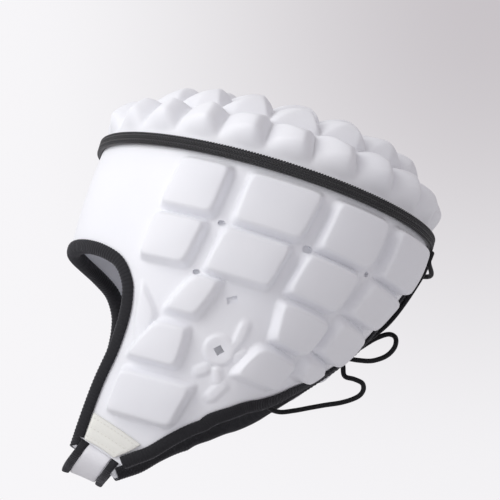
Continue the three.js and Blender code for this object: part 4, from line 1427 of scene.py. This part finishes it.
def strap_line(share):
    """Middle of the strap and the direction across its width, from the right tab to the left."""
    lift = WALL - STRAP_EDGE_THICKNESS / 2
    start = off_form(side_form, *tab_front, lift)
    end = off_form(side_form, *tab_back, lift)
    middle = (start + end) / 2
    turn = (share - 0.5) * math.pi
    side = np.sin(turn)
    under = np.maximum(np.cos(turn), 0) ** STRAP_FULLNESS
    point = np.stack(
        [
            middle[0] * side,
            middle[1] - STRAP_FORWARD * under,
            middle[2] - 2 * GAP - STRAP_DEPTH * under,
        ],
        axis=-1,
    )
    tab = (end - start) / np.linalg.norm(end - start)
    across = np.stack([tab[0] * side, tab[1] + 0 * side, tab[2] * np.abs(side)], axis=-1)
    return point, across / np.linalg.norm(across, axis=-1, keepdims=True)


def strap_shares():
    """Shares whose places are evenly spread along the strap."""
    fine = np.linspace(0, 1, STRAP_SAMPLES)
    along = lengths_along(strap_line(fine)[0])
    return np.interp(np.linspace(0, along[-1], STRAP_STEPS), along, fine)


def strap_band(name, low, high, section, material):
    """A flat band between two places across the strap, its edges rounded off."""
    point, across = strap_line(strap_shares())
    along = np.gradient(point, axis=0)
    out = np.cross(along, across)
    out /= np.linalg.norm(out, axis=-1, keepdims=True)
    turn = np.linspace(0, 2 * np.pi, STRAP_SIDES, endpoint=False)
    width = np.sign(np.cos(turn)) * np.abs(np.cos(turn)) ** section["squareness"]
    lift = np.sign(np.sin(turn)) * np.abs(np.sin(turn)) ** section["squareness"]
    swell = 1 + section["ribs"] * np.sin(2 * np.pi * lengths_along(point) / RIB_PITCH)
    middle, half = (low + high) / 2, (high - low) / 2
    lift = section["thickness"] / 2 * lift[None, :] * swell[:, None]
    width = middle + half * width[None, :, None]
    loops = point[:, None] + across[:, None] * width + out[:, None] * lift[..., None]
    return band_mesh(name, loops, material)


half_strap = STRAP_WIDTH / 2
webbing_half = half_strap - STRAP_EDGE_WIDTH - GAP / 2
binding_start = half_strap - STRAP_EDGE_WIDTH + GAP / 2
webbing = strap_band("strap_webbing", -webbing_half, webbing_half, WEBBING_SECTION, white_webbing)
dress(webbing, "chin_strap")
for side, low, high in (("front", -half_strap, -binding_start), ("back", binding_start, half_strap)):
    edge_piece = strap_band(f"strap_binding_{side}", low, high, EDGE_SECTION, black_knit)
    dress(edge_piece, f"strap_edge_{side}")

# %% [markdown]
# ## Lacing
# Between the knot and the top of the split the same cord is pulled tight. It lies on the foam
# where eyelets would be, which are not shown. It crosses the gap, turns at the top and comes back
# down over itself.

# %% Lacing
LACE_TOP = 7.5
LACE_PITCH = 9.5
LACE_ROWS = 2
LACE_STITCH = 4.5
EYELET_INSET = 3
LACE_OVERPASS = 5.2
TAIL_SPREAD = 13


def eyelet_place(side, down):
    edge = edge_angle(split_part, down)
    degree = np.linalg.norm(side_form(edge, down) - side_form(edge - 1, down))
    angle = side * (edge - (BINDING_DEPTH + EYELET_INSET) / degree)
    return off_form(side_form, angle, down, LACE_LIFT)


def tail_bend(side):
    lowest = LACE_TOP + LACE_PITCH * (LACE_ROWS - 1) + LACE_STITCH / 2
    down = (lowest + KNOT_DOWN) / 2
    angle = side * (REAR + edge_angle(split_part, down)) / 2
    return off_form(side_form, angle, down, LACE_LIFT + GAP)


def tail_end(side):
    """Where an end of the lace meets the knot, on that side's shoulder."""
    place = tail_bend(side)
    return at_knot([side * TAIL_SPREAD, place[1], place[2]])


def crossing(down, lift):
    return off_form(side_form, REAR, down, lift)


def lacing_route():
    """The lace from the knot up to the top of the split and back down."""

    def depth(row):
        return LACE_TOP + LACE_PITCH * row

    over = LACE_LIFT + LACE_OVERPASS
    route = [tail_end(1), tail_bend(1)]
    side = 1
    for row in range(LACE_ROWS - 1, -1, -1):
        route += [eyelet_place(side, depth(row) + LACE_STITCH / 2)]
        route += [eyelet_place(side, depth(row) - LACE_STITCH / 2)]
        route.append(crossing(depth(row - 0.5) if row > 0 else depth(0), LACE_LIFT))
        side = -side
    for row in range(LACE_ROWS):
        route += [eyelet_place(side, depth(row) - LACE_STITCH / 2)]
        route += [eyelet_place(side, depth(row) + LACE_STITCH / 2)]
        if row < LACE_ROWS - 1:
            route.append(crossing(depth(row + 0.5), over))
            side = -side
    return route + [tail_bend(-1), tail_end(-1)]


lacing_line = even_steps(curve_points(lacing_route()), LACE_STEP)
lace_piece = band_mesh("lacing", tube_loops(lacing_line, LACE_DIAMETER / 2, LACE_SIDES), black_cord)
dress(lace_piece, "lace")
print("lace in mm:", round(lengths_along(lacing_line)[-1]))

# %% [markdown]
# ## The knot
# A knot is the same cord wound tightly round itself. A trefoil, the simplest closed knot, drawn
# small enough that its strands touch, reads as a real one from every side. It reaches 0.6 mm
# beyond the ball that stands for it in the solid model.

# %% Knot
KNOT_STATIONS = 160
KNOT_SPREAD = 0.6
KNOT_HEIGHT = 0.469


def knot_line():
    turn = np.linspace(0, 2 * np.pi, KNOT_STATIONS, endpoint=False)
    wide = KNOT_RADIUS - LACE_DIAMETER / 2 + KNOT_SPREAD
    flat = (2 + np.cos(3 * turn)) / 3 * wide
    height = KNOT_HEIGHT * wide * np.sin(3 * turn)
    return knot_middle + np.stack([flat * np.cos(2 * turn), height, flat * np.sin(2 * turn)], axis=-1)


def knot_loops():
    line = knot_line()
    wrapped = np.vstack([line[-1:], line, line[:1]])
    tangent = (wrapped[2:] - wrapped[:-2]) / 2
    tangent /= np.linalg.norm(tangent, axis=-1, keepdims=True)
    outward = line - knot_middle
    side = outward - tangent * np.sum(outward * tangent, axis=-1, keepdims=True)
    side /= np.linalg.norm(side, axis=-1, keepdims=True)
    other = np.cross(tangent, side)
    turn = np.linspace(0, 2 * np.pi, LACE_SIDES, endpoint=False)
    ring = np.cos(turn)[None, :, None] * side[:, None] + np.sin(turn)[None, :, None] * other[:, None]
    return line[:, None] + LACE_DIAMETER / 2 * ring


knot_piece = band_mesh("lace_knot_cord", knot_loops(), black_cord, closed=True)
dress(knot_piece, "lace_knot")

# %% [markdown]
# ## Floor, light and background
# The cap is white on a pale ground, so its pads only show if one side of it is darker than the
# other. A large soft key stands high on the left of the picture, the sky is bright on the left and
# greyer on the upper right, and a pale floor lies below. The camera sees the sky a little
# brighter than the foam does.

# %% Stage
FLOOR_HEIGHT = -400 * MM
FLOOR_SIZE = 8.0
LIGHT_DISTANCE = 1.3
# share of the picture's right, its up and towards the camera, then size in metres and power in watts
LIGHTS = [
    ("key", (-0.75, 0.75, 0.55), 0.9, 7.6),
    ("front_fill", (-0.9, -0.25, 0.5), 1.2, 2.5),
]


def add_floor():
    bpy.ops.mesh.primitive_plane_add(size=FLOOR_SIZE, location=(0, 0, FLOOR_HEIGHT))
    floor = bpy.context.object
    floor.name = "floor"
    floor.data.materials.append(new_material("pale floor", (0.8, 0.8, 0.81), 0.6))
    floor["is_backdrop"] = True


def add_lights():
    target = AIM_POINT
    for name, (rightwards, upwards, nearer), size, power in LIGHTS:
        data = bpy.data.lights.new(name, "AREA")
        data.size = size
        data.energy = power
        lamp = bpy.data.objects.new(name, data)
        bpy.context.scene.collection.objects.link(lamp)
        way = (picture_right * rightwards + picture_up * upwards - lens_axis * nearer).normalized()
        lamp.location = target + way * LIGHT_DISTANCE
        lamp.rotation_euler = (-way).to_track_quat("-Z", "Y").to_euler()


SKY_LEFT = (0.93, 0.92, 0.94)
SKY_UPPER_RIGHT = (0.58, 0.55, 0.575)
SKY_LOWER_RIGHT = (0.9, 0.89, 0.91)
SKY_HALF_SPREAD = PICTURE_SIZE / 2 / FOCAL_PIXELS
SKY_LIGHT = 0.8
SKY_SEEN = 1.0


def add_sky():
    world = bpy.data.worlds.new("sky")
    bpy.context.scene.world = world
    world.use_nodes = True
    nodes, link = world.node_tree.nodes, world.node_tree.links.new
    shade = nodes["Background"]
    place = nodes.new("ShaderNodeTexCoord")

    def share_along(direction):
        """0 to 1 across the picture along a direction of the sky."""
        dot = nodes.new("ShaderNodeVectorMath")
        dot.operation = "DOT_PRODUCT"
        dot.inputs[1].default_value = direction
        link(place.outputs["Generated"], dot.inputs[0])
        spread = nodes.new("ShaderNodeMapRange")
        spread.inputs["From Min"].default_value = -SKY_HALF_SPREAD
        spread.inputs["From Max"].default_value = SKY_HALF_SPREAD
        spread.interpolation_type = "SMOOTHSTEP"
        link(dot.outputs["Value"], spread.inputs["Value"])
        return spread.outputs["Result"]

    def blend(share, low, high):
        mixer = nodes.new("ShaderNodeMix")
        mixer.data_type = "RGBA"
        link(share, mixer.inputs["Factor"])
        for socket, value in (("A", low), ("B", high)):
            target = next(s for s in mixer.inputs if s.name == socket and s.type == "RGBA")
            if isinstance(value, tuple):
                target.default_value = (*value, 1)
            else:
                link(value, target)
        return next(s for s in mixer.outputs if s.type == "RGBA")

    right_side = blend(share_along(picture_up), SKY_LOWER_RIGHT, SKY_UPPER_RIGHT)
    color = blend(share_along(picture_right), SKY_LEFT, right_side)
    link(color, shade.inputs["Color"])
    seen = nodes.new("ShaderNodeLightPath")
    power = nodes.new("ShaderNodeMapRange")
    power.inputs["To Min"].default_value = SKY_LIGHT
    power.inputs["To Max"].default_value = SKY_SEEN
    link(seen.outputs["Is Camera Ray"], power.inputs["Value"])
    link(power.outputs["Result"], shade.inputs["Strength"])


add_floor()
add_lights()
add_sky()
bpy.context.scene.view_settings.view_transform = "Standard"
print("lamps:", len(bpy.data.lights))

# %% [markdown]
# ## The sizes, and the end
# The dressed cap should fill the same box as the solid model it stands for. So the box of the
# finished pieces is worked out at the end.

# %% Sizes and end
low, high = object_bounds()
